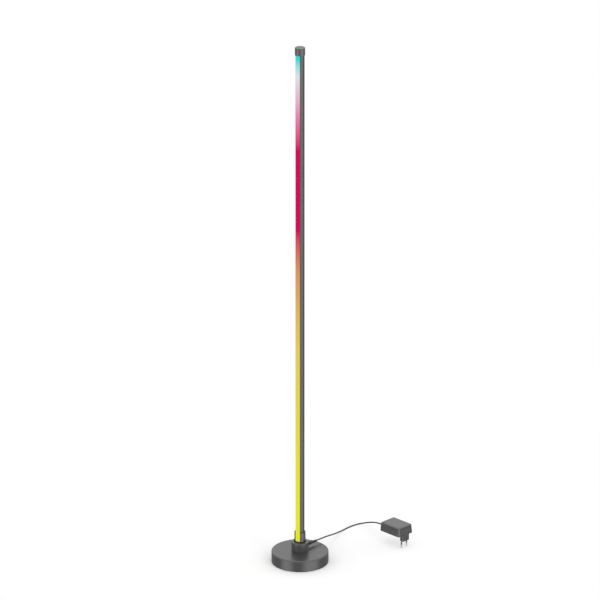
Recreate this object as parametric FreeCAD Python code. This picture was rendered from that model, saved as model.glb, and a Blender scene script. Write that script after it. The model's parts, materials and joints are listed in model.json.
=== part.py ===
"""Corner floor lamp: weighted round base, slim round upright in four sections with one light strip,
and a power lead to a wall adapter.

Millimetres. The origin is the centre of the underside, on the floor. +Z is up, the light faces -Y,
and the lead leaves the collar towards +Y.
"""

import FreeCAD, Part
import math
import os

Vector = FreeCAD.Vector

# ---------------------------------------------------------------- base
BASE_R = 75.0               # outside of the base cover
BASE_TOP = 31.0             # height of its top face
BASE_EDGE_R = 3.0           # rounding of its top edge
COVER_WALL = 1.5
COVER_FOOT = 0.8            # lower edge of the cover above the floor
PAD_T = 1.8                 # rubber pad that the lamp stands on
PAD_INSET = 3.0             # pad's rim inside the cover's outside
PLATE_T = 1.2
PLATE_GAP = 0.3             # plate to the cover's inner wall
WEIGHT_T = 13.0             # cast-iron disc
WEIGHT_GAP = 0.6            # disc to the cover's inner wall
WEIGHT_CHAMFER = 2.0
POST_R = 4.0                # posts under the cover, which the plate screws into
POST_INSET = 17.0           # their centres inside the cover's outside
POST_COUNT = 3
POST_FIT = 0.3              # round each post, in the weight
PAD_HOLE_R = 4.5            # for a screw's head, in the pad
POCKET_X = 60.0             # pocket in the weight for the control board
POCKET_Y = 44.0
POCKET_DEPTH = 7.0
BOARD_POST_H = 4.0
BOARD_POST_R = 3.0
BOARD_POST_X = 21.5
SCREW_R = 1.5               # machine screws of the base, the collar and the board
SCREW_FIT = 0.1             # in the holes that they only pass through
SCREW_HEAD_R = 2.7
SCREW_HEAD_T = 1.4
SCREW_REACH = 6.5           # into the posts above the plate
HEX_FLATS = 1.5             # sockets in the screws
HEX_DEPTH = 1.0
BEYOND = 1.0                # cutting shapes run this far past what they cut

# ---------------------------------------------------------------- collar and swivel
COLLAR_R = 22.5
COLLAR_H = 26.0
COLLAR_EDGE = 0.9           # chamfer on its top edge
CHAMBER_R = 18.5            # hollow round the socket
WEB_T = 2.5                 # floor that the holder turns on
RECESS_R = 16.0             # ring-shaped gap round the holder's neck
RECESS_DEPTH = 5.0
NIPPLE_R = 5.0              # hollow threaded tube
NIPPLE_BORE_R = 3.5
NIPPLE_DROP = 32.0          # its length below the web's top
SWIVEL_FIT = 0.1            # radial running fit of the tube in the web and in the cover
WASHER_R = 9.0
WASHER_T = 1.0
NUT_FLATS = 14.0
NUT_T = 4.0
STOP_PIN_R = 1.25
STOP_PIN_INSET = 2.9        # its centre inside the neck's outside
STOP_PIN_DROP = 1.8         # below the holder's floor
STOP_CLEARANCE = 0.3
SWING_HALF = 90.0           # degrees each way, set by the slot for the stop pin
COLLAR_SCREW_PITCH_R = 20.5
COLLAR_SCREW_REACH = 13.0   # into the collar's wall

# ---------------------------------------------------------------- upright
PIPE_R = 11.75
PIPE_WALL = 1.3
OPENING_HALF = 45.0         # half of the angle left open at the front
SECTION_PITCH = 342.0
SECTION_COUNT = 4
JOINT_GAP = 1.2             # flange of a joiner between two sections
JOINT_RECESS = 0.5          # that flange below the pipe's surface
WEB_FRONT = 3.4             # front face of the inner web, ahead of the axis
INNER_WEB_T = 1.2
DIFFUSER_T = 1.55
DIFFUSER_HALF = 43.4        # half angle of the part that shows
HOOK_DEPTH = 1.3            # of the hidden hooks below the diffuser
HOOK_INNER = 40.8
HOOK_OUTER = 48.2
FIT = 0.15                  # hidden sliding fits in the upright
TAPE_W = 10.0
TAPE_T = 0.3
TAPE_END = 8.0              # tape's ends inside the sections' ends
LED_SIDE = 5.0
LED_T = 1.5
LED_PITCH = 1000.0 / 60.0
JOINER_HALF = 30.0
JOINER_SCREW_Z = 15.0
GRUB_R = 1.5                # small headless screws
GRUB_FIT = 0.1
GRUB_SINK = 0.25            # their ends below the surface
GRUB_LENGTH = 6.0

# ---------------------------------------------------------------- holder and cap
NECK_WALL = 1.5
NECK_TOP = 3.0              # the narrower neck ends this far above the collar
HOLDER_FLOOR = 2.0
SLEEVE_WALL = 2.7
SLEEVE_RISE = 28.0          # sleeve's top above the collar
SLEEVE_OPEN_HALF = 46.0
CLAMP_R = 2.0
CLAMP_Z = 16.0              # clamp screw above the collar
NOTCH_W = 7.0               # in the web of the lowest section, for the lead
NOTCH_H = 8.0
CAP_R = 13.2
CAP_TOP_T = 3.0
CAP_SKIRT = 17.0
CAP_EDGE = 0.8              # chamfer on its top edge
CAP_PLUG = 12.0
CAP_BORE_R = 5.2            # hollow of the cap's plug
CAP_BORE_Y = 2.6

# ---------------------------------------------------------------- socket, plug and leads
JACK_Z = 40.0
JACK_R = 5.3
JACK_LENGTH = 9.4
JACK_NECK_R = 4.0
JACK_NECK_FIT = 0.1
RING_NUT_R = 6.0
RING_NUT_T = 1.6
RING_NUT_FACE_R = 6.3       # spot face on the collar
RING_NUT_CHAMFER = 0.5
KEY_SLOT = 1.2              # slots for the nut's key, width and depth
JACK_MOUTH = 0.4            # neck behind the ring nut's face
JACK_PIN_BACK = 1.5         # contact pin's tip behind the mouth
JACK_TAB = 1.5              # solder tab below the socket
BARREL_R = 2.75             # plug's outer contact
BARREL_BORE_R = 1.05
BARREL_LENGTH = 9.8
PLUG_FIT = 0.1
JACK_DEPTH = 1.2            # socket's bore beyond the plug's tip
GRIP_R = 4.5
GRIP_STRAIGHT = 9.0
GRIP_LENGTH = 36.8
GRIP_END_R = 2.7
GRIP_EDGE = 0.6
GRIP_CLEARANCE = 0.3
GRIP_RINGS = 3
RING_PITCH = 2.4            # ring-shaped grooves in the grip and in the strain relief
RING_GAP_W = 1.1
RING_GAP_D = 0.45
INNER_LEAD_R = 1.25
STRIP_LEAD_R = 1.5
STRIP_LEAD_END = 3.0        # its joint with the tape, above the tape's lower end
LEAD_HOLE_R = 2.0
LEAD_Y = 11.5               # lead from the socket down to the board

# ---------------------------------------------------------------- control board
BOARD_X = 50.0
BOARD_Y = 34.0
BOARD_T = 1.6
SOCKET_H = 2.4
TURN_GAP = 0.3              # turning lead above its socket
# sizes of the parts on the board, and the places of their centres
STRIP_SOCKET = (7.0, 6.0, SOCKET_H)
JACK_SOCKET = (6.0, 5.0, SOCKET_H)
CONTROLLER = (7.0, 7.0, 1.2)
CONTROLLER_AT = (9.5, -8.5)
TRANSISTOR = (4.0, 5.0, 1.5)
TRANSISTOR_AT = (-14.0, -10.5)
TRANSISTOR_PITCH = 6.0
TRANSISTOR_COUNT = 3
RECEIVER = (9.0, 6.0, 2.0)
RECEIVER_AT = (-12.5, 11.0)
CAPACITOR_R = 3.0
CAPACITOR_H = 7.0
CAPACITOR_AT = (16.0, 11.0)

# ---------------------------------------------------------------- lead to the adapter
CORD_R = 1.8
ARC_SHARE = 0.45            # of the shorter run, that each of the route's arcs takes
ADAPTER_X = 100.4           # centre of the adapter
ADAPTER_Y = 259.0
CORD_LIE = CORD_R           # centre line of a cord that lies on the floor
CORD_END_X = 51.0
CORD_IN_Z = 40.0

# ---------------------------------------------------------------- adapter
ADAPTER_L = 72.0
ADAPTER_W = 54.0
ADAPTER_H = 24.5
ADAPTER_DRAFT = 2.5         # each side, from bottom to top
ADAPTER_CORNER_R = 6.5      # at its foot
ADAPTER_TOP_R = 3.0
ADAPTER_FOOT = 1.2          # chamfer on its lower edge
ADAPTER_WALL = 2.0
LOWER_SHELL_H = 12.0
SEAM = 0.4
PIN_R = 2.0
PIN_SLEEVE_R = 1.8
PIN_CORE_R = 1.4            # inside the insulating sleeve
PIN_ROOT_R = 2.3            # thicker part held in the plug head
PIN_LENGTH = 19.0
PIN_SPACING = 19.0
PIN_SLEEVE = 10.0
PIN_TIP = 0.8               # chamfer on the pins' tips
PIN_INSET = 7.4             # pins' line inside the adapter's end
PIN_HOLD = 11.0             # length inside the plug head
HEAD_H = 17.0
HEAD_X = 12.0
HEAD_Y = 24.0
HEAD_CHAMFER = 1.8
HEAD_CORNER_R = 2.0
PANEL_PROUD = 0.6
PANEL_W = 38.0
PANEL_LOW = 4.0             # above the adapter's underside
PANEL_H = 15.5
PANEL_CORNER_R = 3.0
RELIEF_R = 3.8
RELIEF_END_R = 2.5
RELIEF_NECK_R = 3.0
RELIEF_FLANGE_R = 3.6
RELIEF_FLANGE_T = 1.5
RELIEF_RINGS = 3
RELIEF_FIRST_RING = 2.5     # from the cord's end of the relief
INNER_BOARD_GAP = 3.0       # adapter's board to its inner walls
STUD_H = 2.5
STUD_R = 2.0
STUD_INSET_X = 6.0          # studs inside the board's edges
STUD_INSET_Y = 3.0
CORE = (16.0, 18.0, 14.0)   # transformer
WINDING = (10.0, 21.0, 10.0)
WINDING_RISE = 2.0
MAINS_CAN_R = 4.0           # capacitors on the mains side
MAINS_CAN_H = 13.0
MAINS_CAN_X = -17.0
MAINS_CAN_Y = 7.5
LOW_CAN_R = 3.0             # capacitor on the low-voltage side
LOW_CAN_H = 10.0
LOW_CAN_AT = (15.0, -10.0)

# ---------------------------------------------------------------- heights worked out from the above
PLATE_TOP = PAD_T + PLATE_T
POST_PITCH_R = BASE_R - POST_INSET
COVER_UNDER = BASE_TOP - COVER_WALL
COVER_INNER_R = BASE_R - COVER_WALL
WEIGHT_TOP = PLATE_TOP + WEIGHT_T
POCKET_FLOOR = WEIGHT_TOP - POCKET_DEPTH
BOARD_LOW = POCKET_FLOOR + BOARD_POST_H
BOARD_TOP = BOARD_LOW + BOARD_T
SOCKET_TOP = BOARD_TOP + SOCKET_H
COLLAR_TOP = BASE_TOP + COLLAR_H
WEB_TOP = COLLAR_TOP - RECESS_DEPTH
WEB_LOW = WEB_TOP - WEB_T
NIPPLE_LOW = WEB_TOP - NIPPLE_DROP
WASHER_LOW = COVER_UNDER - WASHER_T
NUT_LOW = WASHER_LOW - NUT_T
SEAT_Z = WEB_TOP + HOLDER_FLOOR
NECK_HIGH = COLLAR_TOP + NECK_TOP
SLEEVE_TOP = COLLAR_TOP + SLEEVE_RISE
SLEEVE_IN_R = PIPE_R + FIT
SLEEVE_R = SLEEVE_IN_R + SLEEVE_WALL
NECK_R = SLEEVE_IN_R + NECK_WALL
STOP_PIN_PITCH_R = NECK_R - STOP_PIN_INSET
PIPE_IN_R = PIPE_R - PIPE_WALL
UPRIGHT_TOP = SEAT_Z + SECTION_COUNT * SECTION_PITCH
WEB_BACK = WEB_FRONT - INNER_WEB_T
JOINER_SCREW_TIP = PIPE_R - GRUB_SINK - GRUB_LENGTH
JACK_SHOULDER_Y = math.sqrt(CHAMBER_R ** 2 - JACK_R ** 2) - JACK_NECK_FIT
JACK_BACK_Y = JACK_SHOULDER_Y - JACK_LENGTH
NUT_FACE_Y = math.sqrt(COLLAR_R ** 2 - RING_NUT_FACE_R ** 2)
MOUTH_Y = NUT_FACE_Y + RING_NUT_T - JACK_MOUTH
GRIP_Y = NUT_FACE_Y + RING_NUT_T + GRIP_CLEARANCE
GRIP_END_Y = GRIP_Y + GRIP_LENGTH
BARREL_TIP_Y = GRIP_Y - BARREL_LENGTH
JACK_PIN_R = BARREL_BORE_R - PLUG_FIT
ADAPTER_LOW = PIN_LENGTH + HEAD_H
ADAPTER_TOP = ADAPTER_LOW + ADAPTER_H
SEAM_Z = ADAPTER_LOW + LOWER_SHELL_H
PIN_X = ADAPTER_X + ADAPTER_L / 2 - PIN_INSET
HEAD_END_X = ADAPTER_X + ADAPTER_L / 2 + PANEL_PROUD
RELIEF_LENGTH = ADAPTER_X - ADAPTER_L / 2 - CORD_END_X

# The lead's route from the plug's grip to the adapter. It leaves level, sinks past the base's
# edge, lies on the floor, turns and climbs to the adapter.
CORD_ROUTE = [
    (0.0, GRIP_END_Y, JACK_Z),
    (0.0, 82.0, JACK_Z),
    (-8.0, 109.0, 36.0),
    (-26.0, 143.0, 26.0),
    (-45.0, 181.0, 13.5),
    (-60.0, 218.0, 3.6),
    (-66.5, 250.0, CORD_LIE),
    (-64.5, 278.0, 2.4),
    (-46.5, 292.0, 8.5),
    (-20.0, 287.0, 19.5),
    (6.0, 274.5, 30.5),
    (29.0, ADAPTER_Y, CORD_IN_Z),
    (CORD_END_X, ADAPTER_Y, CORD_IN_Z),
]


# ---------------------------------------------------------------- shapes
def rod(radius, low, high, x=0.0, y=0.0):
    """Upright round bar."""
    return Part.makeCylinder(radius, high - low, Vector(x, y, low))


def tube(outer, inner, low, high, x=0.0, y=0.0):
    return rod(outer, low, high, x, y).cut(rod(inner, low, high, x, y))


def rod_y(radius, near, far, x=0.0, z=0.0):
    """Round bar along +Y."""
    return Part.makeCylinder(radius, far - near, Vector(x, near, z), Vector(0, 1, 0))


def rod_x(radius, near, far, y=0.0, z=0.0):
    """Round bar along +X."""
    return Part.makeCylinder(radius, far - near, Vector(near, y, z), Vector(1, 0, 0))


def block(x_span, y_span, z_span):
    size = [high - low for low, high in (x_span, y_span, z_span)]
    return Part.makeBox(*size, Vector(x_span[0], y_span[0], z_span[0]))


def block_on(size, place, low):
    """Block of a size, standing at a height with its centre at a place."""
    corner = Vector(place[0] - size[0] / 2, place[1] - size[1] / 2, low)
    return Part.makeBox(*size, corner)


def turned(outline, base=Vector(0, 0, 0), axis=Vector(0, 0, 1)):
    """Solid turned from (radius, distance along the axis) pairs."""
    points = [Vector(radius, 0, along) for radius, along in outline]
    face = Part.Face(Part.makePolygon(points + points[:1]))
    solid = face.revolve(Vector(0, 0, 0), Vector(0, 0, 1), 360)
    if axis != Vector(0, 0, 1):
        solid.Placement = FreeCAD.Placement(Vector(0, 0, 0), FreeCAD.Rotation(Vector(0, 0, 1), axis))
    solid.translate(base)
    return solid


def sector(inner, outer, middle, half, low, high):
    """Upright prism over a stretch of a ring, centred on the angle middle, in degrees."""
    start = math.radians(middle - half)
    end = math.radians(middle + half)
    out_arc = Part.ArcOfCircle(Part.Circle(Vector(0, 0, low), Vector(0, 0, 1), outer), start, end)
    in_arc = Part.ArcOfCircle(Part.Circle(Vector(0, 0, low), Vector(0, 0, 1), inner), start, end)
    out_edge = out_arc.toShape()
    in_edge = in_arc.toShape()
    sides = [
        Part.makeLine(in_arc.StartPoint, out_arc.StartPoint),
        Part.makeLine(out_arc.EndPoint, in_arc.EndPoint),
    ]
    wire = Part.Wire(Part.__sortEdges__([out_edge, in_edge] + sides))
    return Part.Face(wire).extrude(Vector(0, 0, high - low))


def hex_bar(flats, low, high, x=0.0, y=0.0):
    corner = flats / math.sqrt(3)
    points = []
    for step in range(6):
        angle = math.radians(60 * step)
        points.append(Vector(x + corner * math.cos(angle), y + corner * math.sin(angle), low))
    return Part.Face(Part.makePolygon(points + points[:1])).extrude(Vector(0, 0, high - low))


def circle_edges(shape, radius, z):
    """The shape's round edges of one radius at one height."""
    found = []
    for edge in shape.Edges:
        curve = edge.Curve
        if isinstance(curve, Part.Circle) and abs(curve.Radius - radius) < 1e-4:
            if abs(curve.Center.z - z) < 1e-4:
                found.append(edge)
    return found


def level_edges(shape, z):
    return [edge for edge in shape.Edges
            if abs(edge.BoundBox.ZMin - z) < 1e-4 and abs(edge.BoundBox.ZMax - z) < 1e-4]


def upright_edges(shape):
    return [edge for edge in shape.Edges
            if edge.BoundBox.XLength < 1e-4 and edge.BoundBox.YLength < 1e-4]


def polar(radius, degrees):
    angle = math.radians(degrees)
    return radius * math.cos(angle), radius * math.sin(angle)


def post_places():
    return [polar(POST_PITCH_R, 90 + 360 * step / POST_COUNT) for step in range(POST_COUNT)]


# ---------------------------------------------------------------- base
def make_base_cover():
    outer = rod(BASE_R, COVER_FOOT, BASE_TOP)
    outer = outer.makeFillet(BASE_EDGE_R, circle_edges(outer, BASE_R, BASE_TOP))
    cover = outer.cut(rod(COVER_INNER_R, COVER_FOOT, COVER_UNDER))
    for x, y in post_places():
        post = rod(POST_R, PLATE_TOP, COVER_UNDER + COVER_WALL / 2, x, y)
        cover = cover.fuse(post)
        cover = cover.cut(rod(SCREW_R, PLATE_TOP, PLATE_TOP + WEIGHT_T, x, y))
    cover = cover.cut(rod(NIPPLE_R + SWIVEL_FIT, COVER_UNDER, BASE_TOP))
    cover = cover.cut(rod(LEAD_HOLE_R, COVER_UNDER, BASE_TOP, 0, LEAD_Y))
    for degrees in (0, 180):
        x, y = polar(COLLAR_SCREW_PITCH_R, degrees)
        cover = cover.cut(rod(SCREW_R + SCREW_FIT, COVER_UNDER, BASE_TOP, x, y))
    return cover.removeSplitter()


def make_base_weight():
    radius = COVER_INNER_R - WEIGHT_GAP
    disc = turned([
        (0, PLATE_TOP),
        (radius, PLATE_TOP),
        (radius, WEIGHT_TOP - WEIGHT_CHAMFER),
        (radius - WEIGHT_CHAMFER, WEIGHT_TOP),
        (0, WEIGHT_TOP),
    ])
    pocket = block(
        (-POCKET_X / 2, POCKET_X / 2),
        (-POCKET_Y / 2, POCKET_Y / 2),
        (POCKET_FLOOR, WEIGHT_TOP),
    )
    disc = disc.cut(pocket)
    for side in (-1, 1):
        x = side * BOARD_POST_X
        disc = disc.fuse(rod(BOARD_POST_R, PLATE_TOP, BOARD_LOW, x))
        disc = disc.cut(rod(SCREW_R, POCKET_FLOOR, BOARD_LOW, x))
    for x, y in post_places():
        disc = disc.cut(rod(POST_R + POST_FIT, PLATE_TOP, WEIGHT_TOP, x, y))
    return disc.removeSplitter()


def make_base_plate():
    plate = rod(COVER_INNER_R - PLATE_GAP, PAD_T, PLATE_TOP)
    for x, y in post_places():
        plate = plate.cut(rod(SCREW_R + SCREW_FIT, PAD_T, PLATE_TOP, x, y))
    return plate


def make_base_pad():
    pad = rod(BASE_R - PAD_INSET, 0, PAD_T)
    for x, y in post_places():
        pad = pad.cut(rod(PAD_HOLE_R, 0, PAD_T, x, y))
    return pad


def make_plate_screw(x, y):
    low = PAD_T - SCREW_HEAD_T
    screw = rod(SCREW_HEAD_R, low, PAD_T, x, y)
    screw = screw.fuse(rod(SCREW_R, PAD_T, PLATE_TOP + SCREW_REACH, x, y))
    return screw.cut(hex_bar(HEX_FLATS, low, low + HEX_DEPTH, x, y))


# ---------------------------------------------------------------- collar, socket and swivel
def swing_slot(half_width, low, high):
    """Half-round slot in which the stop pin travels."""
    middle = -90.0
    slot = sector(
        STOP_PIN_PITCH_R - half_width,
        STOP_PIN_PITCH_R + half_width,
        middle,
        SWING_HALF,
        low,
        high,
    )
    for side in (-1, 1):
        x, y = polar(STOP_PIN_PITCH_R, middle + side * SWING_HALF)
        slot = slot.fuse(rod(half_width, low, high, x, y))
    return slot


def make_pole_collar():
    collar = turned([
        (0, BASE_TOP),
        (COLLAR_R, BASE_TOP),
        (COLLAR_R, COLLAR_TOP - COLLAR_EDGE),
        (COLLAR_R - COLLAR_EDGE, COLLAR_TOP),
        (0, COLLAR_TOP),
    ])
    collar = collar.cut(rod(CHAMBER_R, BASE_TOP, WEB_LOW))
    collar = collar.cut(rod(RECESS_R, WEB_TOP, COLLAR_TOP))
    collar = collar.cut(rod(NIPPLE_R + SWIVEL_FIT, WEB_LOW, WEB_TOP))
    collar = collar.cut(swing_slot(STOP_PIN_R + STOP_CLEARANCE, WEB_LOW, WEB_TOP))
    outside = COLLAR_R + BEYOND
    collar = collar.cut(rod_y(JACK_NECK_R + JACK_NECK_FIT, 0, outside, 0, JACK_Z))
    collar = collar.cut(rod_y(RING_NUT_FACE_R, NUT_FACE_Y, outside, 0, JACK_Z))
    for degrees in (0, 180):
        x, y = polar(COLLAR_SCREW_PITCH_R, degrees)
        collar = collar.cut(rod(SCREW_R, BASE_TOP, BASE_TOP + COLLAR_SCREW_REACH, x, y))
    return collar.removeSplitter()


def make_collar_screw(degrees):
    x, y = polar(COLLAR_SCREW_PITCH_R, degrees)
    low = COVER_UNDER - SCREW_HEAD_T
    screw = rod(SCREW_R, COVER_UNDER, BASE_TOP + COLLAR_SCREW_REACH, x, y)
    return screw.fuse(rod(SCREW_HEAD_R, low, COVER_UNDER, x, y))


def make_dc_jack():
    jack = rod_y(JACK_R, JACK_BACK_Y, JACK_SHOULDER_Y, 0, JACK_Z)
    jack = jack.fuse(rod_y(JACK_NECK_R, JACK_SHOULDER_Y, MOUTH_Y, 0, JACK_Z))
    jack = jack.cut(rod_y(BARREL_R + PLUG_FIT, BARREL_TIP_Y - JACK_DEPTH, MOUTH_Y, 0, JACK_Z))
    tab_size = (2 * INNER_LEAD_R, 2 * INNER_LEAD_R, JACK_TAB + BEYOND)
    tab = block_on(tab_size, (0, LEAD_Y), JACK_Z - JACK_R - JACK_TAB)
    jack = jack.fuse(tab)
    jack = jack.cut(rod_y(JACK_PIN_R, JACK_BACK_Y, MOUTH_Y, 0, JACK_Z))
    return jack.removeSplitter()


def make_jack_pin():
    return rod_y(JACK_PIN_R, JACK_BACK_Y, MOUTH_Y - JACK_PIN_BACK, 0, JACK_Z)


def make_jack_ring_nut():
    nut = turned(
        [
            (JACK_NECK_R, 0),
            (RING_NUT_R, 0),
            (RING_NUT_R, RING_NUT_T - RING_NUT_CHAMFER),
            (RING_NUT_R - RING_NUT_CHAMFER, RING_NUT_T),
            (JACK_NECK_R, RING_NUT_T),
        ],
        Vector(0, NUT_FACE_Y, JACK_Z),
        Vector(0, 1, 0),
    )
    for side in (-1, 1):
        middle = side * RING_NUT_R
        slot = block(
            (middle - KEY_SLOT, middle + KEY_SLOT),
            (NUT_FACE_Y + RING_NUT_T / 2, NUT_FACE_Y + RING_NUT_T),
            (JACK_Z - KEY_SLOT / 2, JACK_Z + KEY_SLOT / 2),
        )
        nut = nut.cut(slot)
    return nut


def make_holder_nipple():
    return tube(NIPPLE_R, NIPPLE_BORE_R, NIPPLE_LOW, SEAT_Z)


def make_swivel_washer():
    return tube(WASHER_R, NIPPLE_R, WASHER_LOW, COVER_UNDER)


def make_swivel_nut():
    return hex_bar(NUT_FLATS, NUT_LOW, WASHER_LOW).cut(rod(NIPPLE_R, NUT_LOW, WASHER_LOW))


def make_stop_pin():
    return rod(STOP_PIN_R, WEB_TOP - STOP_PIN_DROP, SEAT_Z, 0, -STOP_PIN_PITCH_R)


def make_pole_holder():
    holder = rod(NECK_R, WEB_TOP, NECK_HIGH)
    holder = holder.fuse(rod(SLEEVE_R, NECK_HIGH, SLEEVE_TOP))
    holder = holder.cut(rod(SLEEVE_IN_R, SEAT_Z, SLEEVE_TOP))
    outside = SLEEVE_R + BEYOND
    holder = holder.cut(sector(PIPE_IN_R, outside, -90, SLEEVE_OPEN_HALF, NECK_HIGH, SLEEVE_TOP))
    holder = holder.cut(rod(NIPPLE_R, WEB_TOP, SEAT_Z))
    holder = holder.cut(rod(STOP_PIN_R, WEB_TOP, SEAT_Z, 0, -STOP_PIN_PITCH_R))
    holder = holder.cut(rod_y(CLAMP_R, 0, outside, 0, COLLAR_TOP + CLAMP_Z))
    return holder.removeSplitter()


def make_headless_screw(radius, near, far, z):
    """Screw along +Y at a height, with a hexagon socket in its far end."""
    screw = rod(radius, near, far)
    screw = screw.cut(hex_bar(HEX_FLATS, far - HEX_DEPTH, far))
    screw.rotate(Vector(0, 0, 0), Vector(1, 0, 0), -90)
    screw.translate(Vector(0, 0, z))
    return screw


def make_clamp_screw():
    return make_headless_screw(CLAMP_R, PIPE_R, SLEEVE_R - GRUB_SINK, COLLAR_TOP + CLAMP_Z)


# ---------------------------------------------------------------- upright
def joint_height(number):
    """Height of the joint above section number, counted from 1."""
    return SEAT_Z + number * SECTION_PITCH


def section_span(number):
    low = SEAT_Z if number == 1 else joint_height(number - 1) + JOINT_GAP / 2
    high = UPRIGHT_TOP if number == SECTION_COUNT else joint_height(number) - JOINT_GAP / 2
    return low, high


def screw_heights(number):
    """Heights of the screws that hold the joiner above section number."""
    z = joint_height(number)
    return z - JOINER_SCREW_Z, z + JOINER_SCREW_Z


def make_profile(number):
    """Round extrusion, open at the front, with a flat inner web for the LED tape."""
    low, high = section_span(number)
    profile = sector(PIPE_IN_R, PIPE_R, 90, 180 - OPENING_HALF, low, high)
    web = block((-PIPE_R, PIPE_R), (-WEB_FRONT, -WEB_BACK), (low, high))
    web = web.common(rod(PIPE_IN_R + PIPE_WALL / 2, low, high))
    profile = profile.fuse(web).removeSplitter()
    heights = []
    if number > 1:
        heights.append(screw_heights(number - 1)[1])
    if number < SECTION_COUNT:
        heights.append(screw_heights(number)[0])
    for z in heights:
        profile = profile.cut(rod_y(GRUB_R + GRUB_FIT, 0, PIPE_R + BEYOND, 0, z))
    if number == 1:
        notch_y = (-WEB_FRONT - BEYOND, -WEB_BACK + BEYOND)
        profile = profile.cut(block((-NOTCH_W / 2, NOTCH_W / 2), notch_y, (low, low + NOTCH_H)))
    return profile


def chamber_bar(radius, low, high):
    """Bar with the D shape of the space behind the inner web."""
    front = -WEB_BACK + FIT
    cutter = block((-PIPE_R, PIPE_R), (-PIPE_R, front), (low, high))
    return rod(radius, low, high).cut(cutter)


def make_joiner(number):
    z = joint_height(number)
    half_gap = JOINT_GAP / 2
    flange_r = PIPE_R - JOINT_RECESS
    bar = chamber_bar(PIPE_IN_R - FIT, z - JOINER_HALF, z + JOINER_HALF)
    inside = PIPE_IN_R - FIT - BEYOND
    flange = sector(inside, flange_r, 90, 180 - OPENING_HALF, z - half_gap, z + half_gap)
    keep = block((-PIPE_R, PIPE_R), (-WEB_FRONT, PIPE_R), (z - half_gap, z + half_gap))
    disc = rod(flange_r, z - half_gap, z + half_gap).common(keep)
    outer_only = tube(flange_r, PIPE_IN_R, z - half_gap, z + half_gap)
    joiner = bar.fuse(disc).fuse(flange.common(outer_only))
    for height in screw_heights(number):
        joiner = joiner.cut(rod_y(GRUB_R, JOINER_SCREW_TIP, PIPE_R, 0, height))
    return joiner.removeSplitter()


def make_joiner_screw(z):
    return make_headless_screw(GRUB_R, JOINER_SCREW_TIP, PIPE_R - GRUB_SINK, z)


def make_diffuser():
    """One translucent strip: a flush outer skin and two hooks that grip behind the pipe's edges."""
    low = SEAT_Z + FIT
    high = UPRIGHT_TOP - FIT
    skin = sector(PIPE_R - DIFFUSER_T, PIPE_R, -90, DIFFUSER_HALF, low, high)
    hook_top = PIPE_IN_R - FIT
    middle = (HOOK_INNER + HOOK_OUTER) / 2
    half = (HOOK_OUTER - HOOK_INNER) / 2
    for side in (-1, 1):
        hook = sector(hook_top - HOOK_DEPTH, hook_top, -90 + side * middle, half, low, high)
        skin = skin.fuse(hook)
    return skin.removeSplitter()


def tape_span():
    return SEAT_Z + TAPE_END, UPRIGHT_TOP - TAPE_END


def make_led_tape():
    return block((-TAPE_W / 2, TAPE_W / 2), (-WEB_FRONT - TAPE_T, -WEB_FRONT), tape_span())


def make_led_packages():
    low, high = tape_span()
    front = -WEB_FRONT - TAPE_T
    half = LED_SIDE / 2
    count = int((high - low - LED_PITCH) / LED_PITCH)
    first = (low + high) / 2 - LED_PITCH * (count - 1) / 2
    packages = []
    for step in range(count):
        z = first + LED_PITCH * step
        packages.append(block((-half, half), (front - LED_T, front), (z - half, z + half)))
    return Part.makeCompound(packages)


def make_strip_lead():
    """Lead from the tape's lower end, through the web's notch and down the threaded tube."""
    front = -WEB_FRONT - TAPE_T - STRIP_LEAD_R
    turn = SEAT_Z + NOTCH_H / 2
    lead = rod(STRIP_LEAD_R, turn, tape_span()[0] + STRIP_LEAD_END, 0, front)
    lead = lead.fuse(rod_y(STRIP_LEAD_R, front, 0, 0, turn))
    return lead.fuse(rod(STRIP_LEAD_R, SOCKET_TOP + TURN_GAP, turn))


def make_top_cap():
    top = UPRIGHT_TOP + CAP_TOP_T
    low = UPRIGHT_TOP - CAP_SKIRT
    outer = rod(CAP_R, low, top)
    outer = outer.makeChamfer(CAP_EDGE, circle_edges(outer, CAP_R, top))
    cap = outer.cut(rod(PIPE_R + FIT, low, UPRIGHT_TOP))
    plug = chamber_bar(PIPE_IN_R - FIT, UPRIGHT_TOP - CAP_PLUG, UPRIGHT_TOP + CAP_TOP_T / 2)
    plug = plug.cut(rod(CAP_BORE_R, UPRIGHT_TOP - CAP_PLUG, UPRIGHT_TOP, 0, CAP_BORE_Y))
    return cap.fuse(plug).removeSplitter()


# ---------------------------------------------------------------- control board
def make_control_board():
    board = block((-BOARD_X / 2, BOARD_X / 2), (-BOARD_Y / 2, BOARD_Y / 2), (BOARD_LOW, BOARD_TOP))
    for side in (-1, 1):
        board = board.cut(rod(SCREW_R + SCREW_FIT, BOARD_LOW, BOARD_TOP, side * BOARD_POST_X))
    return board


def make_board_screw(side):
    x = side * BOARD_POST_X
    screw = rod(SCREW_R, POCKET_FLOOR, BOARD_TOP, x)
    return screw.fuse(rod(SCREW_HEAD_R, BOARD_TOP, BOARD_TOP + SCREW_HEAD_T, x))


def make_board_chips():
    """Controller, three switching transistors, radio receiver and smoothing capacitor."""
    chips = [
        block_on(CONTROLLER, CONTROLLER_AT, BOARD_TOP),
        block_on(RECEIVER, RECEIVER_AT, BOARD_TOP),
        rod(CAPACITOR_R, BOARD_TOP, BOARD_TOP + CAPACITOR_H, *CAPACITOR_AT),
    ]
    for step in range(TRANSISTOR_COUNT):
        place = (TRANSISTOR_AT[0] + TRANSISTOR_PITCH * step, TRANSISTOR_AT[1])
        chips.append(block_on(TRANSISTOR, place, BOARD_TOP))
    return Part.makeCompound(chips)


def make_board_sockets():
    return Part.makeCompound([
        block_on(STRIP_SOCKET, (0, 0), BOARD_TOP),
        block_on(JACK_SOCKET, (0, LEAD_Y), BOARD_TOP),
    ])


def make_jack_lead():
    return rod(INNER_LEAD_R, SOCKET_TOP, JACK_Z - JACK_R - JACK_TAB, 0, LEAD_Y)


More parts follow.
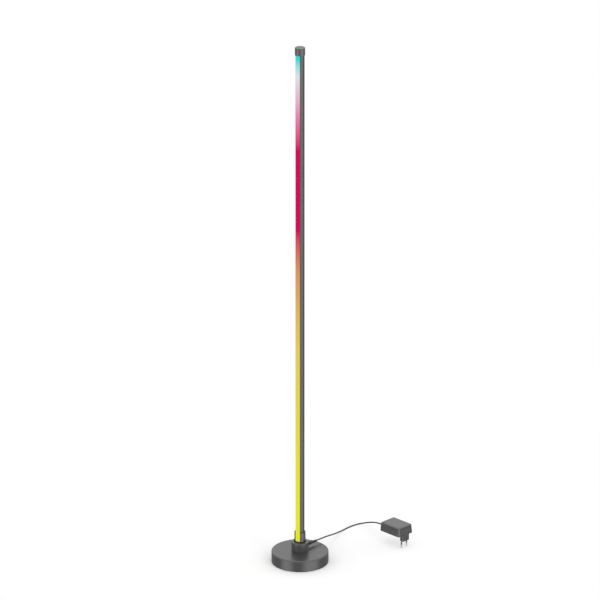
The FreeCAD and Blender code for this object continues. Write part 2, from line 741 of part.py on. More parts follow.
# ---------------------------------------------------------------- plug and cord
def make_plug_barrel():
    barrel = rod_y(BARREL_R, BARREL_TIP_Y, GRIP_Y + GRIP_STRAIGHT, 0, JACK_Z)
    return barrel.cut(rod_y(BARREL_BORE_R, BARREL_TIP_Y, GRIP_Y + BEYOND, 0, JACK_Z))


def cone_grooves(radius_at, first, count):
    """Outline points of evenly spaced grooves in a cone, whose radius is a function of the place."""
    points = []
    for step in range(count):
        start = first + step * RING_PITCH
        end = start + RING_GAP_W
        floor = min(radius_at(start), radius_at(end)) - RING_GAP_D
        points += [(radius_at(start), start), (floor, start), (floor, end), (radius_at(end), end)]
    return points


def make_plug_grip():
    """Moulded grip: a short straight grip, then a long taper with ring-shaped grooves."""
    slope = (GRIP_R - GRIP_END_R) / (GRIP_LENGTH - GRIP_STRAIGHT)

    def radius_at(along):
        return GRIP_R - slope * (along - GRIP_STRAIGHT)

    outline = [(0, 0), (GRIP_R - GRIP_EDGE, 0), (GRIP_R, GRIP_EDGE), (GRIP_R, GRIP_STRAIGHT)]
    outline += cone_grooves(radius_at, GRIP_LENGTH - (GRIP_RINGS + 0.5) * RING_PITCH, GRIP_RINGS)
    outline += [(GRIP_END_R, GRIP_LENGTH), (0, GRIP_LENGTH)]
    grip = turned(outline, Vector(0, GRIP_Y, JACK_Z), Vector(0, 1, 0))
    return grip.cut(rod_y(BARREL_R, GRIP_Y, GRIP_Y + GRIP_STRAIGHT, 0, JACK_Z))


def path_with_arcs(points):
    """Straight runs joined by tangent arcs, each as large as its two runs allow."""
    places = [Vector(*point) for point in points]
    edges = []
    radii = []
    start = places[0]
    for before, corner, after in zip(places, places[1:], places[2:]):
        way_in = corner - before
        way_out = after - corner
        trim = ARC_SHARE * min(way_in.Length, way_out.Length)
        half_turn = way_in.getAngle(way_out) / 2
        radius = trim / math.tan(half_turn)
        way_in.normalize()
        way_out.normalize()
        arc_start = corner - way_in * trim
        arc_end = corner + way_out * trim
        inward = way_out - way_in
        inward.normalize()
        middle = corner + inward * (radius / math.cos(half_turn) - radius)
        edges.append(Part.LineSegment(start, arc_start).toShape())
        edges.append(Part.Arc(arc_start, middle, arc_end).toShape())
        radii.append(radius)
        start = arc_end
    edges.append(Part.LineSegment(start, places[-1]).toShape())
    return Part.Wire(edges), radii


def make_round_path(points, radius):
    path, radii = path_with_arcs(points)
    direction = Vector(*points[1]) - Vector(*points[0])
    ring = Part.Circle(Vector(*points[0]), direction, radius).toShape()
    solid = path.makePipeShell([Part.Wire([ring])], True, False)
    ratio = solid.Volume / (math.pi * radius ** 2 * path.Length)
    print("round path: length %.1f, volume ratio %.4f, radii" % (path.Length, ratio),
          " ".join("%.1f" % value for value in radii))
    return solid


def make_power_cord():
    return make_round_path(CORD_ROUTE, CORD_R)


# ---------------------------------------------------------------- adapter
def adapter_form(inset, low, high):
    """A slice of the drafted adapter: cones at its corners and two blocks with sloping sides.

    Its sides are moved in by inset.
    """
    centre_x = ADAPTER_L / 2 - ADAPTER_CORNER_R
    centre_y = ADAPTER_W / 2 - ADAPTER_CORNER_R
    slope = ADAPTER_DRAFT / ADAPTER_H
    radii = [ADAPTER_CORNER_R - inset - slope * (z - ADAPTER_LOW) for z in (low, high)]
    long_block = sloping_block([(centre_x + radius, centre_y) for radius in radii], low, high)
    cross_block = sloping_block([(centre_x, centre_y + radius) for radius in radii], low, high)
    form = long_block.fuse(cross_block)
    for sx, sy in ((1, 1), (-1, 1), (-1, -1), (1, -1)):
        foot = Vector(ADAPTER_X + sx * centre_x, ADAPTER_Y + sy * centre_y, low)
        form = form.fuse(Part.makeCone(radii[0], radii[1], high - low, foot))
    return form.removeSplitter()


def sloping_block(half_sizes, low, high):
    """Block about the adapter's centre, from its half sizes at its foot and at its top."""
    rings = []
    for (half_x, half_y), z in zip(half_sizes, (low, high)):
        corners = [Vector(ADAPTER_X + sx * half_x, ADAPTER_Y + sy * half_y, z)
                   for sx, sy in ((1, 1), (-1, 1), (-1, -1), (1, -1))]
        rings.append(Part.makePolygon(corners + corners[:1]))
    return Part.makeLoft(rings, True, True)


def relief_places():
    """X of the end wall's outside, and of its inside with the draft."""
    wall_x = ADAPTER_X - ADAPTER_L / 2
    return wall_x, wall_x + ADAPTER_WALL + ADAPTER_DRAFT / 2


def make_adapter_lower():
    shell = adapter_form(0, ADAPTER_LOW, SEAM_Z)
    shell = shell.makeChamfer(ADAPTER_FOOT, level_edges(shell, ADAPTER_LOW))
    shell = shell.cut(adapter_form(ADAPTER_WALL, ADAPTER_LOW + ADAPTER_WALL, SEAM_Z))
    groove = adapter_form(-BEYOND, SEAM_Z - SEAM, SEAM_Z)
    shell = shell.cut(groove.cut(adapter_form(SEAM, SEAM_Z - SEAM, SEAM_Z)))
    wall_x, inner_x = relief_places()
    shell = shell.cut(rod_x(RELIEF_NECK_R, wall_x - BEYOND, inner_x + BEYOND, ADAPTER_Y, CORD_IN_Z))
    for x, y in stud_places():
        shell = shell.fuse(rod(STUD_R, ADAPTER_LOW + ADAPTER_WALL / 2, stud_top(), x, y))
    for y in pin_places():
        shell = shell.cut(rod(PIN_ROOT_R, ADAPTER_LOW, ADAPTER_LOW + ADAPTER_WALL, PIN_X, y))
    return shell.removeSplitter()


def make_adapter_upper():
    shell = adapter_form(0, SEAM_Z, ADAPTER_TOP)
    shell = shell.makeFillet(ADAPTER_TOP_R, level_edges(shell, ADAPTER_TOP))
    return shell.cut(adapter_form(ADAPTER_WALL, SEAM_Z, ADAPTER_TOP - ADAPTER_WALL))


def pin_places():
    return ADAPTER_Y - PIN_SPACING / 2, ADAPTER_Y + PIN_SPACING / 2


def stud_top():
    return ADAPTER_LOW + ADAPTER_WALL + STUD_H


def inner_board_span():
    """Half length and half width of the adapter's board."""
    drawn_in = ADAPTER_WALL + INNER_BOARD_GAP
    return ADAPTER_L / 2 - drawn_in, ADAPTER_W / 2 - drawn_in


def stud_places():
    half_x, half_y = inner_board_span()
    return [(ADAPTER_X + sx * (half_x - STUD_INSET_X), ADAPTER_Y + sy * (half_y - STUD_INSET_Y))
            for sx in (-1, 1) for sy in (-1, 1)]


def make_plug_head():
    """Insert that carries the pins: a boss below the adapter and a panel up its end face."""
    boss = block((HEAD_END_X - HEAD_X, HEAD_END_X), y_span_of(HEAD_Y), (PIN_LENGTH, ADAPTER_LOW))
    boss = boss.makeFillet(HEAD_CORNER_R, upright_edges(boss))
    boss = boss.makeChamfer(HEAD_CHAMFER, level_edges(boss, PIN_LENGTH))
    end_x = (PIN_X, HEAD_END_X + BEYOND)
    panel_low = ADAPTER_LOW + PANEL_LOW
    panel = rounded_panel(end_x, y_span_of(PANEL_W), (panel_low, panel_low + PANEL_H))
    bridge_z = (ADAPTER_LOW, panel_low + PANEL_H / 2)
    bridge = block(end_x, y_span_of(HEAD_Y - 2 * HEAD_CORNER_R), bridge_z)
    proud = adapter_form(-PANEL_PROUD, ADAPTER_LOW, ADAPTER_TOP)
    body = adapter_form(0, ADAPTER_LOW, ADAPTER_TOP)
    head = boss.fuse(panel.fuse(bridge).common(proud).cut(body))
    for y in pin_places():
        head = head.cut(rod(PIN_ROOT_R, PIN_LENGTH, ADAPTER_LOW, PIN_X, y))
    return head.removeSplitter()


def rounded_panel(x_span, y_span, z_span):
    """Block along X with its four long edges rounded."""
    panel = block(x_span, y_span, z_span)
    long_edges = [edge for edge in panel.Edges
                  if edge.BoundBox.YLength < 1e-4 and edge.BoundBox.ZLength < 1e-4]
    return panel.makeFillet(PANEL_CORNER_R, long_edges)


def y_span_of(width):
    return ADAPTER_Y - width / 2, ADAPTER_Y + width / 2


def make_mains_pin(y):
    """Round pin, thinner where its insulating sleeve sits and thicker in the plug head."""
    sleeve_low = PIN_LENGTH - PIN_SLEEVE
    pin = rod(PIN_R, 0, sleeve_low, PIN_X, y)
    pin = pin.makeChamfer(PIN_TIP, circle_edges(pin, PIN_R, 0))
    pin = pin.fuse(rod(PIN_CORE_R, sleeve_low, PIN_LENGTH, PIN_X, y))
    return pin.fuse(rod(PIN_ROOT_R, PIN_LENGTH, PIN_LENGTH + PIN_HOLD, PIN_X, y))


def make_pin_sleeve(y):
    return tube(PIN_SLEEVE_R, PIN_CORE_R, PIN_LENGTH - PIN_SLEEVE, PIN_LENGTH, PIN_X, y)


def make_cord_relief():
    """Tapered relief with rings, held in the adapter's end wall by a flange."""
    wall_x, inner_x = relief_places()
    slope = (RELIEF_R - RELIEF_END_R) / RELIEF_LENGTH
    past_wall = RELIEF_LENGTH + ADAPTER_WALL

    def radius_at(along):
        return RELIEF_END_R + slope * along

    outline = [(0, 0), (RELIEF_END_R, 0)]
    outline += cone_grooves(radius_at, RELIEF_FIRST_RING, RELIEF_RINGS)
    outline += [(RELIEF_R, RELIEF_LENGTH), (RELIEF_R, past_wall), (0, past_wall)]
    cone = turned(outline, Vector(CORD_END_X, ADAPTER_Y, CORD_IN_Z), Vector(1, 0, 0))
    cone = cone.cut(adapter_form(0, ADAPTER_LOW, ADAPTER_TOP))
    neck = rod_x(RELIEF_NECK_R, wall_x - BEYOND, inner_x, ADAPTER_Y, CORD_IN_Z)
    inside = adapter_form(ADAPTER_WALL, ADAPTER_LOW + ADAPTER_WALL, SEAM_Z)
    flange_end = wall_x + ADAPTER_WALL + RELIEF_FLANGE_T
    flange = rod_x(RELIEF_FLANGE_R, wall_x + ADAPTER_WALL / 2, flange_end, ADAPTER_Y, CORD_IN_Z)
    return cone.fuse(neck).fuse(flange.common(inside)).removeSplitter()


def make_adapter_board():
    half_x, half_y = inner_board_span()
    low = stud_top()
    return block(
        (ADAPTER_X - half_x + RELIEF_FLANGE_T, ADAPTER_X + half_x - PIN_INSET),
        (ADAPTER_Y - half_y, ADAPTER_Y + half_y),
        (low, low + BOARD_T),
    )


def make_adapter_transformer():
    low = stud_top() + BOARD_T
    core = block_on(CORE, (ADAPTER_X, ADAPTER_Y), low)
    return core.fuse(block_on(WINDING, (ADAPTER_X, ADAPTER_Y), low + WINDING_RISE))


def make_adapter_capacitors():
    low = stud_top() + BOARD_T
    cans = []
    for side in (-1, 1):
        x, y = ADAPTER_X + MAINS_CAN_X, ADAPTER_Y + side * MAINS_CAN_Y
        cans.append(rod(MAINS_CAN_R, low, low + MAINS_CAN_H, x, y))
    x, y = ADAPTER_X + LOW_CAN_AT[0], ADAPTER_Y + LOW_CAN_AT[1]
    cans.append(rod(LOW_CAN_R, low, low + LOW_CAN_H, x, y))
    return Part.makeCompound(cans)


# ---------------------------------------------------------------- all nodes
def all_nodes():
    nodes = {
        "base_cover": make_base_cover(),
        "base_weight": make_base_weight(),
        "base_plate": make_base_plate(),
        "base_pad": make_base_pad(),
        "pole_collar": make_pole_collar(),
        "dc_jack": make_dc_jack(),
        "jack_pin": make_jack_pin(),
        "jack_ring_nut": make_jack_ring_nut(),
        "jack_lead": make_jack_lead(),
        "control_board": make_control_board(),
        "board_chips": make_board_chips(),
        "board_sockets": make_board_sockets(),
        "pole_holder": make_pole_holder(),
        "holder_nipple": make_holder_nipple(),
        "swivel_washer": make_swivel_washer(),
        "swivel_nut": make_swivel_nut(),
        "stop_pin": make_stop_pin(),
        "clamp_screw": make_clamp_screw(),
        "diffuser": make_diffuser(),
        "led_tape": make_led_tape(),
        "led_packages": make_led_packages(),
        "strip_lead": make_strip_lead(),
        "top_cap": make_top_cap(),
        "plug_barrel": make_plug_barrel(),
        "plug_grip": make_plug_grip(),
        "power_cord": make_power_cord(),
        "cord_relief": make_cord_relief(),
        "adapter_lower": make_adapter_lower(),
        "adapter_upper": make_adapter_upper(),
        "plug_head": make_plug_head(),
        "adapter_board": make_adapter_board(),
        "adapter_transformer": make_adapter_transformer(),
        "adapter_capacitors": make_adapter_capacitors(),
    }
    for number, (x, y) in enumerate(post_places(), 1):
        nodes["plate_screw_%d" % number] = make_plate_screw(x, y)
    for number, degrees in enumerate((0, 180), 1):
        nodes["collar_screw_%d" % number] = make_collar_screw(degrees)
    for number, side in enumerate((-1, 1), 1):
        nodes["board_screw_%d" % number] = make_board_screw(side)
    for number in range(1, SECTION_COUNT + 1):
        nodes["profile_%d" % number] = make_profile(number)
    for number in range(1, SECTION_COUNT):
        nodes["joiner_%d" % number] = make_joiner(number)
        for place, z in zip(("low", "high"), screw_heights(number)):
            nodes["joiner_%d_screw_%s" % (number, place)] = make_joiner_screw(z)
    for number, y in enumerate(pin_places(), 1):
        nodes["mains_pin_%d" % number] = make_mains_pin(y)
        nodes["pin_sleeve_%d" % number] = make_pin_sleeve(y)
    return nodes


os.makedirs("parts", exist_ok=True)
for name, shape in all_nodes().items():
    shape.exportStep("parts/%s.step" % name)
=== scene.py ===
"""Looks of the corner floor lamp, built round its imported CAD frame.

The frame is in metres: +Z is up, the light faces -Y and the lead leaves towards +Y. Sizes below are
millimetres, as in the part's source, and a mesh is scaled to metres when it is made.
"""

import json
import math

import bmesh
import bpy
from mathutils import Matrix, Vector

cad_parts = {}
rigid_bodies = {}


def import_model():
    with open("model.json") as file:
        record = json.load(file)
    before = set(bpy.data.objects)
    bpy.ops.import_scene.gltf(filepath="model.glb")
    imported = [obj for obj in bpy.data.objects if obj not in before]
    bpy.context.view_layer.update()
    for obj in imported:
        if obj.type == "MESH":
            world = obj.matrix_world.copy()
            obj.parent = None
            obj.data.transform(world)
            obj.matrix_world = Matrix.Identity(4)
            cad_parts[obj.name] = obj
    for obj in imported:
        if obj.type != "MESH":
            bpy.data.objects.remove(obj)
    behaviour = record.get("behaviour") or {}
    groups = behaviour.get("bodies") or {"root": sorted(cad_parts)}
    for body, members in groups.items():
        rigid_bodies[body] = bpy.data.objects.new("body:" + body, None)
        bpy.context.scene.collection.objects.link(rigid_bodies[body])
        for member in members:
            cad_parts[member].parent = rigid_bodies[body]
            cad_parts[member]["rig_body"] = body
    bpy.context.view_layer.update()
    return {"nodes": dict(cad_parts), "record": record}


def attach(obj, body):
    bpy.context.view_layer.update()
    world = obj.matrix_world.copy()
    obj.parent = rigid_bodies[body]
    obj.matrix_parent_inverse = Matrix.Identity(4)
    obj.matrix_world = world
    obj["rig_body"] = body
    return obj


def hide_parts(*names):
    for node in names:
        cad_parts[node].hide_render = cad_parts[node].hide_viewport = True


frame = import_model()

MM = 0.001
scene = bpy.context.scene
SLOTS = {part["node"]: part["material_slot"] for part in frame["record"]["subparts"]}

# ---------------------------------------------------------------- sizes from the part's source
BASE_R = 75.0
BASE_TOP = 31.0
BASE_EDGE_R = 3.0
COVER_WALL = 1.5
COVER_FOOT = 0.8
PAD_R = 72.0
PAD_T = 1.8
PAD_HOLE_R = 4.5
PLATE_SCREWS = [(58.0, 90), (58.0, 210), (58.0, 330)]
SCREW_HEAD_R = 2.7
SCREW_HEAD_T = 1.4
SCREW_R = 1.5
HEX_FLATS = 1.5
HEX_DEPTH = 1.0
COLLAR_R = 22.5
COLLAR_TOP = 57.0
COLLAR_EDGE = 0.9
CHAMBER_R = 18.5
RECESS_R = 16.0
WEB_TOP = 52.0
WEB_LOW = 49.5
NIPPLE_R = 5.0
SLOT_PITCH_R = 10.5
SLOT_HALF = 1.55
SEAT_Z = 54.0
NECK_R = 13.4
NECK_HIGH = 60.0
SLEEVE_IN_R = 11.9
SLEEVE_R = 14.6
SLEEVE_TOP = 85.0
SLEEVE_OPEN_HALF = 46.0
CLAMP_R = 2.0
CLAMP_Z = 73.0
PIPE_R = 11.75
PIPE_IN_R = 10.45
OPENING_HALF = 45.0
SECTIONS = [(54.0, 395.4), (396.6, 737.4), (738.6, 1079.4), (1080.6, 1422.0)]
JOINTS = [396.0, 738.0, 1080.0]
JOINT_GAP = 1.2
FLANGE_R = 11.25
CHAMBER_FRONT = -2.05
JOINER_HALF = 30.0
JOINER_SCREW_Z = 15.0
GRUB_R = 1.5
GRUB_SINK = 0.25
GRUB_LENGTH = 6.0
WEB_FRONT = 3.4
INNER_WEB_T = 1.2
DIFFUSER_T = 1.55
DIFFUSER_HALF = 43.4
UPRIGHT_TOP = 1422.0
CAP_R = 13.2
CAP_LOW = 1405.0
CAP_TOP = 1425.0
JACK_Z = 40.0
NUT_FACE_Y = 21.6
GRIP_Y = 23.5
GRIP_LENGTH = 36.8
GRIP_R = 4.5
GRIP_END_R = 2.7
GRIP_STRAIGHT = 9.0
RING_PITCH = 2.4
RING_GAP_W = 1.1
RING_GAP_D = 0.45
BARREL_R = 2.75
BARREL_TIP_Y = 13.7
ADAPTER_X = 100.4
ADAPTER_Y = 259.0
ADAPTER_L = 72.0
ADAPTER_W = 54.0
ADAPTER_LOW = 36.0
SEAM_Z = 48.0
ADAPTER_TOP = 60.5
ADAPTER_SLOPE = 2.5 / 24.5
ADAPTER_CORNER_R = 6.5
ADAPTER_TOP_R = 3.0
ADAPTER_FOOT = 1.2
ADAPTER_WALL = 2.0
SEAM = 0.4
HEAD_LOW = 19.0
HEAD_END_X = 137.0
HEAD_X = 12.0
HEAD_Y = 24.0
PANEL_W = 38.0
PANEL_Z = (40.0, 55.5)
PANEL_PROUD = 0.6
PANEL_GAP_W = 0.7
PANEL_GAP_D = 1.1
PIN_X = 129.0
PIN_YS = (249.5, 268.5)
PIN_R = 2.0
PIN_CORE_R = 1.4
PIN_SLEEVE_R = 1.8
PIN_ROOT_R = 2.3
SLEEVE_LOW = 9
PIN_END = 30
CORD_END_X = 51.0
CORD_IN_Z = 40.0

# The lead's route in metres: the points of the part's source, some moved a few millimetres
# to follow the photograph.
CORD_R = 0.0018
CORD_ROUTE = [
    (0.0, 0.0603, 0.040),
    (0.0, 0.082, 0.040),
    (-0.008, 0.109, 0.035),
    (-0.026, 0.143, 0.0225),
    (-0.044, 0.180, 0.0105),
    (-0.058, 0.216, 0.0026),
    (-0.063, 0.2465, 0.0018),
    (-0.0615, 0.275, 0.0020),
    (-0.045, 0.290, 0.0066),
    (-0.020, 0.287, 0.0168),
    (0.006, 0.2745, 0.0278),
    (0.029, 0.2590, 0.0392),
    (0.051, 0.2590, 0.040),
]


# ---------------------------------------------------------------- camera
def make_camera():
    """Long lens at the photograph's angle: 45 degrees round from the light's front, 21 down."""
    data = bpy.data.cameras.new("camera")
    data.sensor_width = 36.0
    data.lens = 373.7
    data.clip_end = 100.0
    camera = bpy.data.objects.new("camera", data)
    scene.collection.objects.link(camera)
    pitch = math.radians(21.34)
    level = math.cos(pitch) / math.sqrt(2)
    camera.location = (10.597, -10.597, 6.5906)
    looking = Vector((-level, level, -math.sin(pitch)))
    camera.rotation_euler = looking.to_track_quat("-Z", "Y").to_euler()
    scene.camera = camera


# ---------------------------------------------------------------- materials
class Finish:
    """A material with one shader, and short calls for the nodes that drive it."""

    def __init__(self, name, colour, roughness, metallic=0.0, **uniform):
        self.material = bpy.data.materials.new(name)
        self.material.use_nodes = True
        self.material.diffuse_color = (*colour, 1)
        self.tree = self.material.node_tree
        self.shader = self.tree.nodes["Principled BSDF"]
        self.shader.inputs["Base Color"].default_value = (*colour, 1)
        self.shader.inputs["Roughness"].default_value = roughness
        self.shader.inputs["Metallic"].default_value = metallic
        for key, value in uniform.items():
            self.shader.inputs[key.replace("_", " ")].default_value = value
        self.place = self.add("ShaderNodeTexCoord").outputs["Object"]

    def add(self, kind, settings=(), **inputs):
        node = self.tree.nodes.new(kind)
        for key, value in dict(settings).items():
            setattr(node, key, value)
        for key, value in inputs.items():
            self.feed(node.inputs[key.replace("_", " ")], value)
        return node

    def feed(self, socket, value):
        if isinstance(value, bpy.types.NodeSocket):
            self.tree.links.new(value, socket)
        else:
            socket.default_value = value

    def stretched(self, stretch):
        node = self.add("ShaderNodeVectorMath", {"operation": "MULTIPLY"})
        self.feed(node.inputs[0], self.place)
        self.feed(node.inputs[1], stretch)
        return node.outputs[0]

    def grain(self, size, detail=3.0, stretch=(1, 1, 1)):
        """Noise whose features are about size millimetres across."""
        noise = self.add("ShaderNodeTexNoise", Vector=self.stretched(stretch),
                         Scale=1 / (size * MM), Detail=detail)
        return noise.outputs["Fac"]

    def span(self, value, low, high, start=0.3, end=0.7):
        node = self.add("ShaderNodeMapRange", Value=value)
        for key, number in (("From Min", start), ("From Max", end), ("To Min", low), ("To Max", high)):
            node.inputs[key].default_value = number
        return node.outputs["Result"]

    def sum(self, operation, first, second):
        node = self.add("ShaderNodeMath", {"operation": operation})
        self.feed(node.inputs[0], first)
        self.feed(node.inputs[1], second)
        return node.outputs[0]

    def axis(self, name):
        node = self.add("ShaderNodeSeparateXYZ", Vector=self.place)
        return node.outputs[name]

    def blend(self, value, first, second):
        node = self.add("ShaderNodeMix", {"data_type": "RGBA"})
        self.feed(node.inputs["Factor"], value)
        self.feed(node.inputs[6], first if isinstance(first, bpy.types.NodeSocket) else (*first, 1))
        self.feed(node.inputs[7], second if isinstance(second, bpy.types.NodeSocket) else (*second, 1))
        return node.outputs[2]

    def colour(self, socket):
        self.feed(self.shader.inputs["Base Color"], socket)

    def rough(self, socket):
        self.feed(self.shader.inputs["Roughness"], socket)

    def bump(self, height, depth, strength=1.0):
        """Relief whose full depth is given in millimetres. A second call adds to the first."""
        socket = self.shader.inputs["Normal"]
        node = self.add("ShaderNodeBump", Height=height, Distance=depth * MM, Strength=strength)
        if socket.is_linked:
            self.tree.links.new(socket.links[0].from_socket, node.inputs["Normal"])
        self.tree.links.new(node.outputs["Normal"], socket)


def shaded(colour, factor):
    return tuple(value * factor for value in colour)


def black_paint():
    """Powder coat: a fine orange peel, with dust-light specks and softly uneven gloss.

    The collar above the base is a separate coated part. From just above the base top upward the colour is
    painted a shade lighter: a painted sheen standing in for the light stripes on the collar's wall.
    """
    colour = (0.034, 0.034, 0.035)
    finish = Finish("black_paint", colour, 0.28, IOR=1.95)
    cloud = finish.grain(38, 4)
    speck = finish.grain(0.5, 2)
    tone = finish.sum("ADD", finish.sum("MULTIPLY", cloud, 0.6), finish.sum("MULTIPLY", speck, 0.4))
    base = finish.blend(finish.span(tone, 0, 1), shaded(colour, 0.9), shaded(colour, 1.1))
    # Painted sheen: above the base top the colour blends to the lighter collar tone, in place of light
    # reflected on the collar's wall.
    sheen_mask = finish.span(finish.axis("Z"), 0, 1, (BASE_TOP + 1) * MM, (BASE_TOP + 3) * MM)
    collar = finish.blend(finish.span(tone, 0, 1), shaded(colour, 1.4), shaded(colour, 1.7))
    finish.colour(finish.blend(sheen_mask, base, collar))
    finish.rough(finish.span(finish.grain(9, 4), 0.27, 0.35))
    finish.bump(finish.grain(1.3, 2), 0.012, 0.4)
    return finish.material


def black_anodised():
    """Extruded and anodised aluminium: fine die lines along the upright under a satin skin."""
    colour = (0.046, 0.045, 0.044)
    finish = Finish("black_anodised", colour, 0.27, 0.1, IOR=1.9)
    lines = finish.grain(0.7, 3, (1, 1, 0.012))
    broad = finish.grain(3.5, 2, (1, 1, 0.02))
    tone = finish.sum("ADD", finish.sum("MULTIPLY", lines, 0.5), finish.sum("MULTIPLY", broad, 0.5))
    finish.colour(finish.blend(finish.span(tone, 0, 1), shaded(colour, 0.84), shaded(colour, 1.18)))
    finish.rough(finish.span(lines, 0.22, 0.34))
    finish.bump(lines, 0.012, 0.4)
    return finish.material


def cast_iron():
    colour = (0.085, 0.083, 0.082)
    finish = Finish("cast_iron", colour, 0.62, 0.5)
    sand = finish.grain(1.6, 6)
    finish.colour(finish.blend(finish.span(finish.grain(14, 4), 0, 1), colour, (0.13, 0.11, 0.1)))
    finish.rough(finish.span(sand, 0.5, 0.75))
    finish.bump(sand, 0.35, 0.8)
    return finish.material


def steel():
    """Zinc-plated steel, cloudy at a few millimetres."""
    colour = (0.52, 0.53, 0.55)
    finish = Finish("steel", colour, 0.3, 1.0)
    cloud = finish.grain(4, 5)
    finish.colour(finish.blend(finish.span(cloud, 0, 1), shaded(colour, 0.85), (0.6, 0.6, 0.57)))
    finish.rough(finish.span(cloud, 0.22, 0.4))
    finish.bump(finish.grain(0.25, 2), 0.004, 0.5)
    return finish.material


def rubber():
    """Rubber pad with round grip lines, matte and a little dusty."""
    colour = (0.024, 0.024, 0.026)
    finish = Finish("rubber", colour, 0.82, Specular_IOR_Level=0.3)
    dust = finish.grain(12, 5)
    finish.colour(finish.blend(finish.span(dust, 0, 1), colour, (0.05, 0.049, 0.047)))
    finish.rough(finish.span(dust, 0.74, 0.92))
    flat = finish.stretched((1, 1, 0))
    length = finish.add("ShaderNodeVectorMath", {"operation": "LENGTH"}, Vector=flat)
    rings = finish.sum("SINE", finish.sum("MULTIPLY", length.outputs["Value"], 2 * math.pi / (3 * MM)), 0)
    finish.bump(rings, 0.25, 0.6)
    finish.bump(finish.grain(0.6, 3), 0.05, 0.5)
    return finish.material


def moulded(name, colour, roughness, grain_size, relief, **uniform):
    """Moulded plastic with the fine even texture of a spark-eroded mould."""
    finish = Finish(name, colour, roughness, **uniform)
    fine = finish.grain(grain_size, 2)
    cloud = finish.span(finish.grain(16, 4), 0, 1)
    finish.colour(finish.blend(cloud, shaded(colour, 0.9), shaded(colour, 1.12)))
    finish.rough(finish.span(fine, roughness - 0.07, roughness + 0.08))
    finish.bump(fine, relief, 0.6)
    return finish.material


def cord_rubber():
    """Soft extruded jacket: matte, with faint lines and handling marks."""
    colour = (0.02, 0.02, 0.021)
    finish = Finish("cord_rubber", colour, 0.52, Specular_IOR_Level=0.4)
    marks = finish.grain(7, 5)
    finish.colour(finish.blend(finish.span(marks, 0, 1), shaded(colour, 0.86), shaded(colour, 1.2)))
    finish.rough(finish.span(marks, 0.45, 0.6))
    finish.bump(finish.grain(0.4, 3), 0.015, 0.5)
    return finish.material


def circuit_board():
    """Green solder mask with straight copper runs showing through it."""
    finish = Finish("circuit_board", (0.02, 0.11, 0.05), 0.32)
    bricks = finish.add("ShaderNodeTexBrick", Vector=finish.place, Scale=260.0, Mortar_Size=0.09,
                        Mortar_Smooth=0.3, Brick_Width=0.8, Row_Height=0.35)
    mask = finish.blend(finish.span(finish.grain(8, 3), 0, 1), (0.014, 0.09, 0.04), (0.02, 0.12, 0.055))
    finish.colour(finish.blend(bricks.outputs["Fac"], mask, (0.05, 0.2, 0.08)))
    finish.bump(bricks.outputs["Fac"], 0.03, 0.6)
    return finish.material


def led_white():
    """LED package: white housing round a yellow lens, set at the packages' pitch."""
    finish = Finish("led_white", (0.8, 0.78, 0.7), 0.3, Emission_Strength=0.6)
    lens = finish.grain(2.4, 1)
    glow = finish.blend(finish.span(lens, 0, 1), (0.85, 0.8, 0.62), (0.92, 0.82, 0.4))
    finish.colour(glow)
    finish.feed(finish.shader.inputs["Emission Color"], glow)
    return finish.material


def wire():
    colour = (0.09, 0.09, 0.095)
    finish = Finish("wire", colour, 0.42)
    lines = finish.grain(0.8, 3, (1, 1, 0.05))
    finish.colour(finish.blend(finish.span(lines, 0, 1), shaded(colour, 0.8), shaded(colour, 1.3)))
    finish.bump(lines, 0.03, 0.5)
    return finish.material


def plated_contact():
    """Nickel-plated brass with light wear from plugging in."""
    finish = Finish("plated_contact", (0.66, 0.64, 0.6), 0.2, 1.0)
    wear = finish.grain(3, 5, (1, 1, 0.2))
    finish.colour(finish.blend(finish.span(wear, 0, 1), (0.6, 0.59, 0.56), (0.74, 0.71, 0.64)))
    finish.rough(finish.span(wear, 0.14, 0.32))
    finish.bump(finish.grain(0.3, 3, (1, 1, 0.1)), 0.004, 0.5)
    return finish.material


# Main hues of the lit strip, as given linear colours, with the height in millimetres where
# each is full. Between them the ramp blends.
TEAL = (0.03, 0.7, 0.7)
COOL_WHITE = (0.7, 0.75, 0.8)
PINK = (0.8, 0.2, 0.4)
CRIMSON = (0.65, 0.0, 0.1)
ORANGE = (0.7, 0.3, 0.12)
GOLD = (0.75, 0.6, 0.1)
LEMON = (0.8, 0.8, 0.02)
GLOW = [(1395, TEAL), (1350, COOL_WHITE), (1235, PINK), (1150, CRIMSON), (930, CRIMSON), (810, ORANGE),
        (600, GOLD), (60, LEMON)]


def diffuser():
    """Milky strip lit from inside by colours that change with height."""
    finish = Finish("diffuser", (0.3, 0.28, 0.12), 0.5, Specular_IOR_Level=0.05, Emission_Strength=0.86)
    height = finish.sum("DIVIDE", finish.axis("Z"), CAP_TOP * MM)
    ramp = finish.add("ShaderNodeValToRGB", Fac=height)
    stops = ramp.color_ramp.elements
    stops.remove(stops[0])
    for z, hue in GLOW:
        stop = stops.new(z / CAP_TOP)
        stop.color = (*hue, 1)
    stops.remove(stops[-1])
    across = finish.sum("ABSOLUTE", finish.axis("X"), 0)
    centre = finish.span(across, 1.0, 0.86, 4.5 * MM, 8.0 * MM)
    glow = finish.blend(centre, (0, 0, 0), ramp.outputs["Color"])
    finish.feed(finish.shader.inputs["Emission Color"], glow)
    # Painted glow: the base colour takes the light's hues at 0.16, so the milky plastic is tinted by its own
    # light.
    finish.colour(finish.blend(0.16, (0, 0, 0), ramp.outputs["Color"]))
    finish.rough(finish.span(finish.grain(0.5, 2), 0.45, 0.6))
    finish.bump(finish.grain(0.5, 2), 0.01, 0.4)
    return finish.material


finishes = {
    "black_paint": black_paint(),
    "black_anodised": black_anodised(),
    "cast_iron": cast_iron(),
    "steel": steel(),
    "rubber": rubber(),
    "black_plastic": moulded("black_plastic", (0.052, 0.052, 0.053), 0.26, 0.45, 0.012, IOR=1.95),
    "cord_rubber": cord_rubber(),
    "wire": wire(),
    "circuit_board": circuit_board(),
    "components": moulded("components", (0.03, 0.03, 0.032), 0.5, 0.2, 0.01),
    "led_white": led_white(),
    "diffuser": diffuser(),
    "plated_contact": plated_contact(),
}


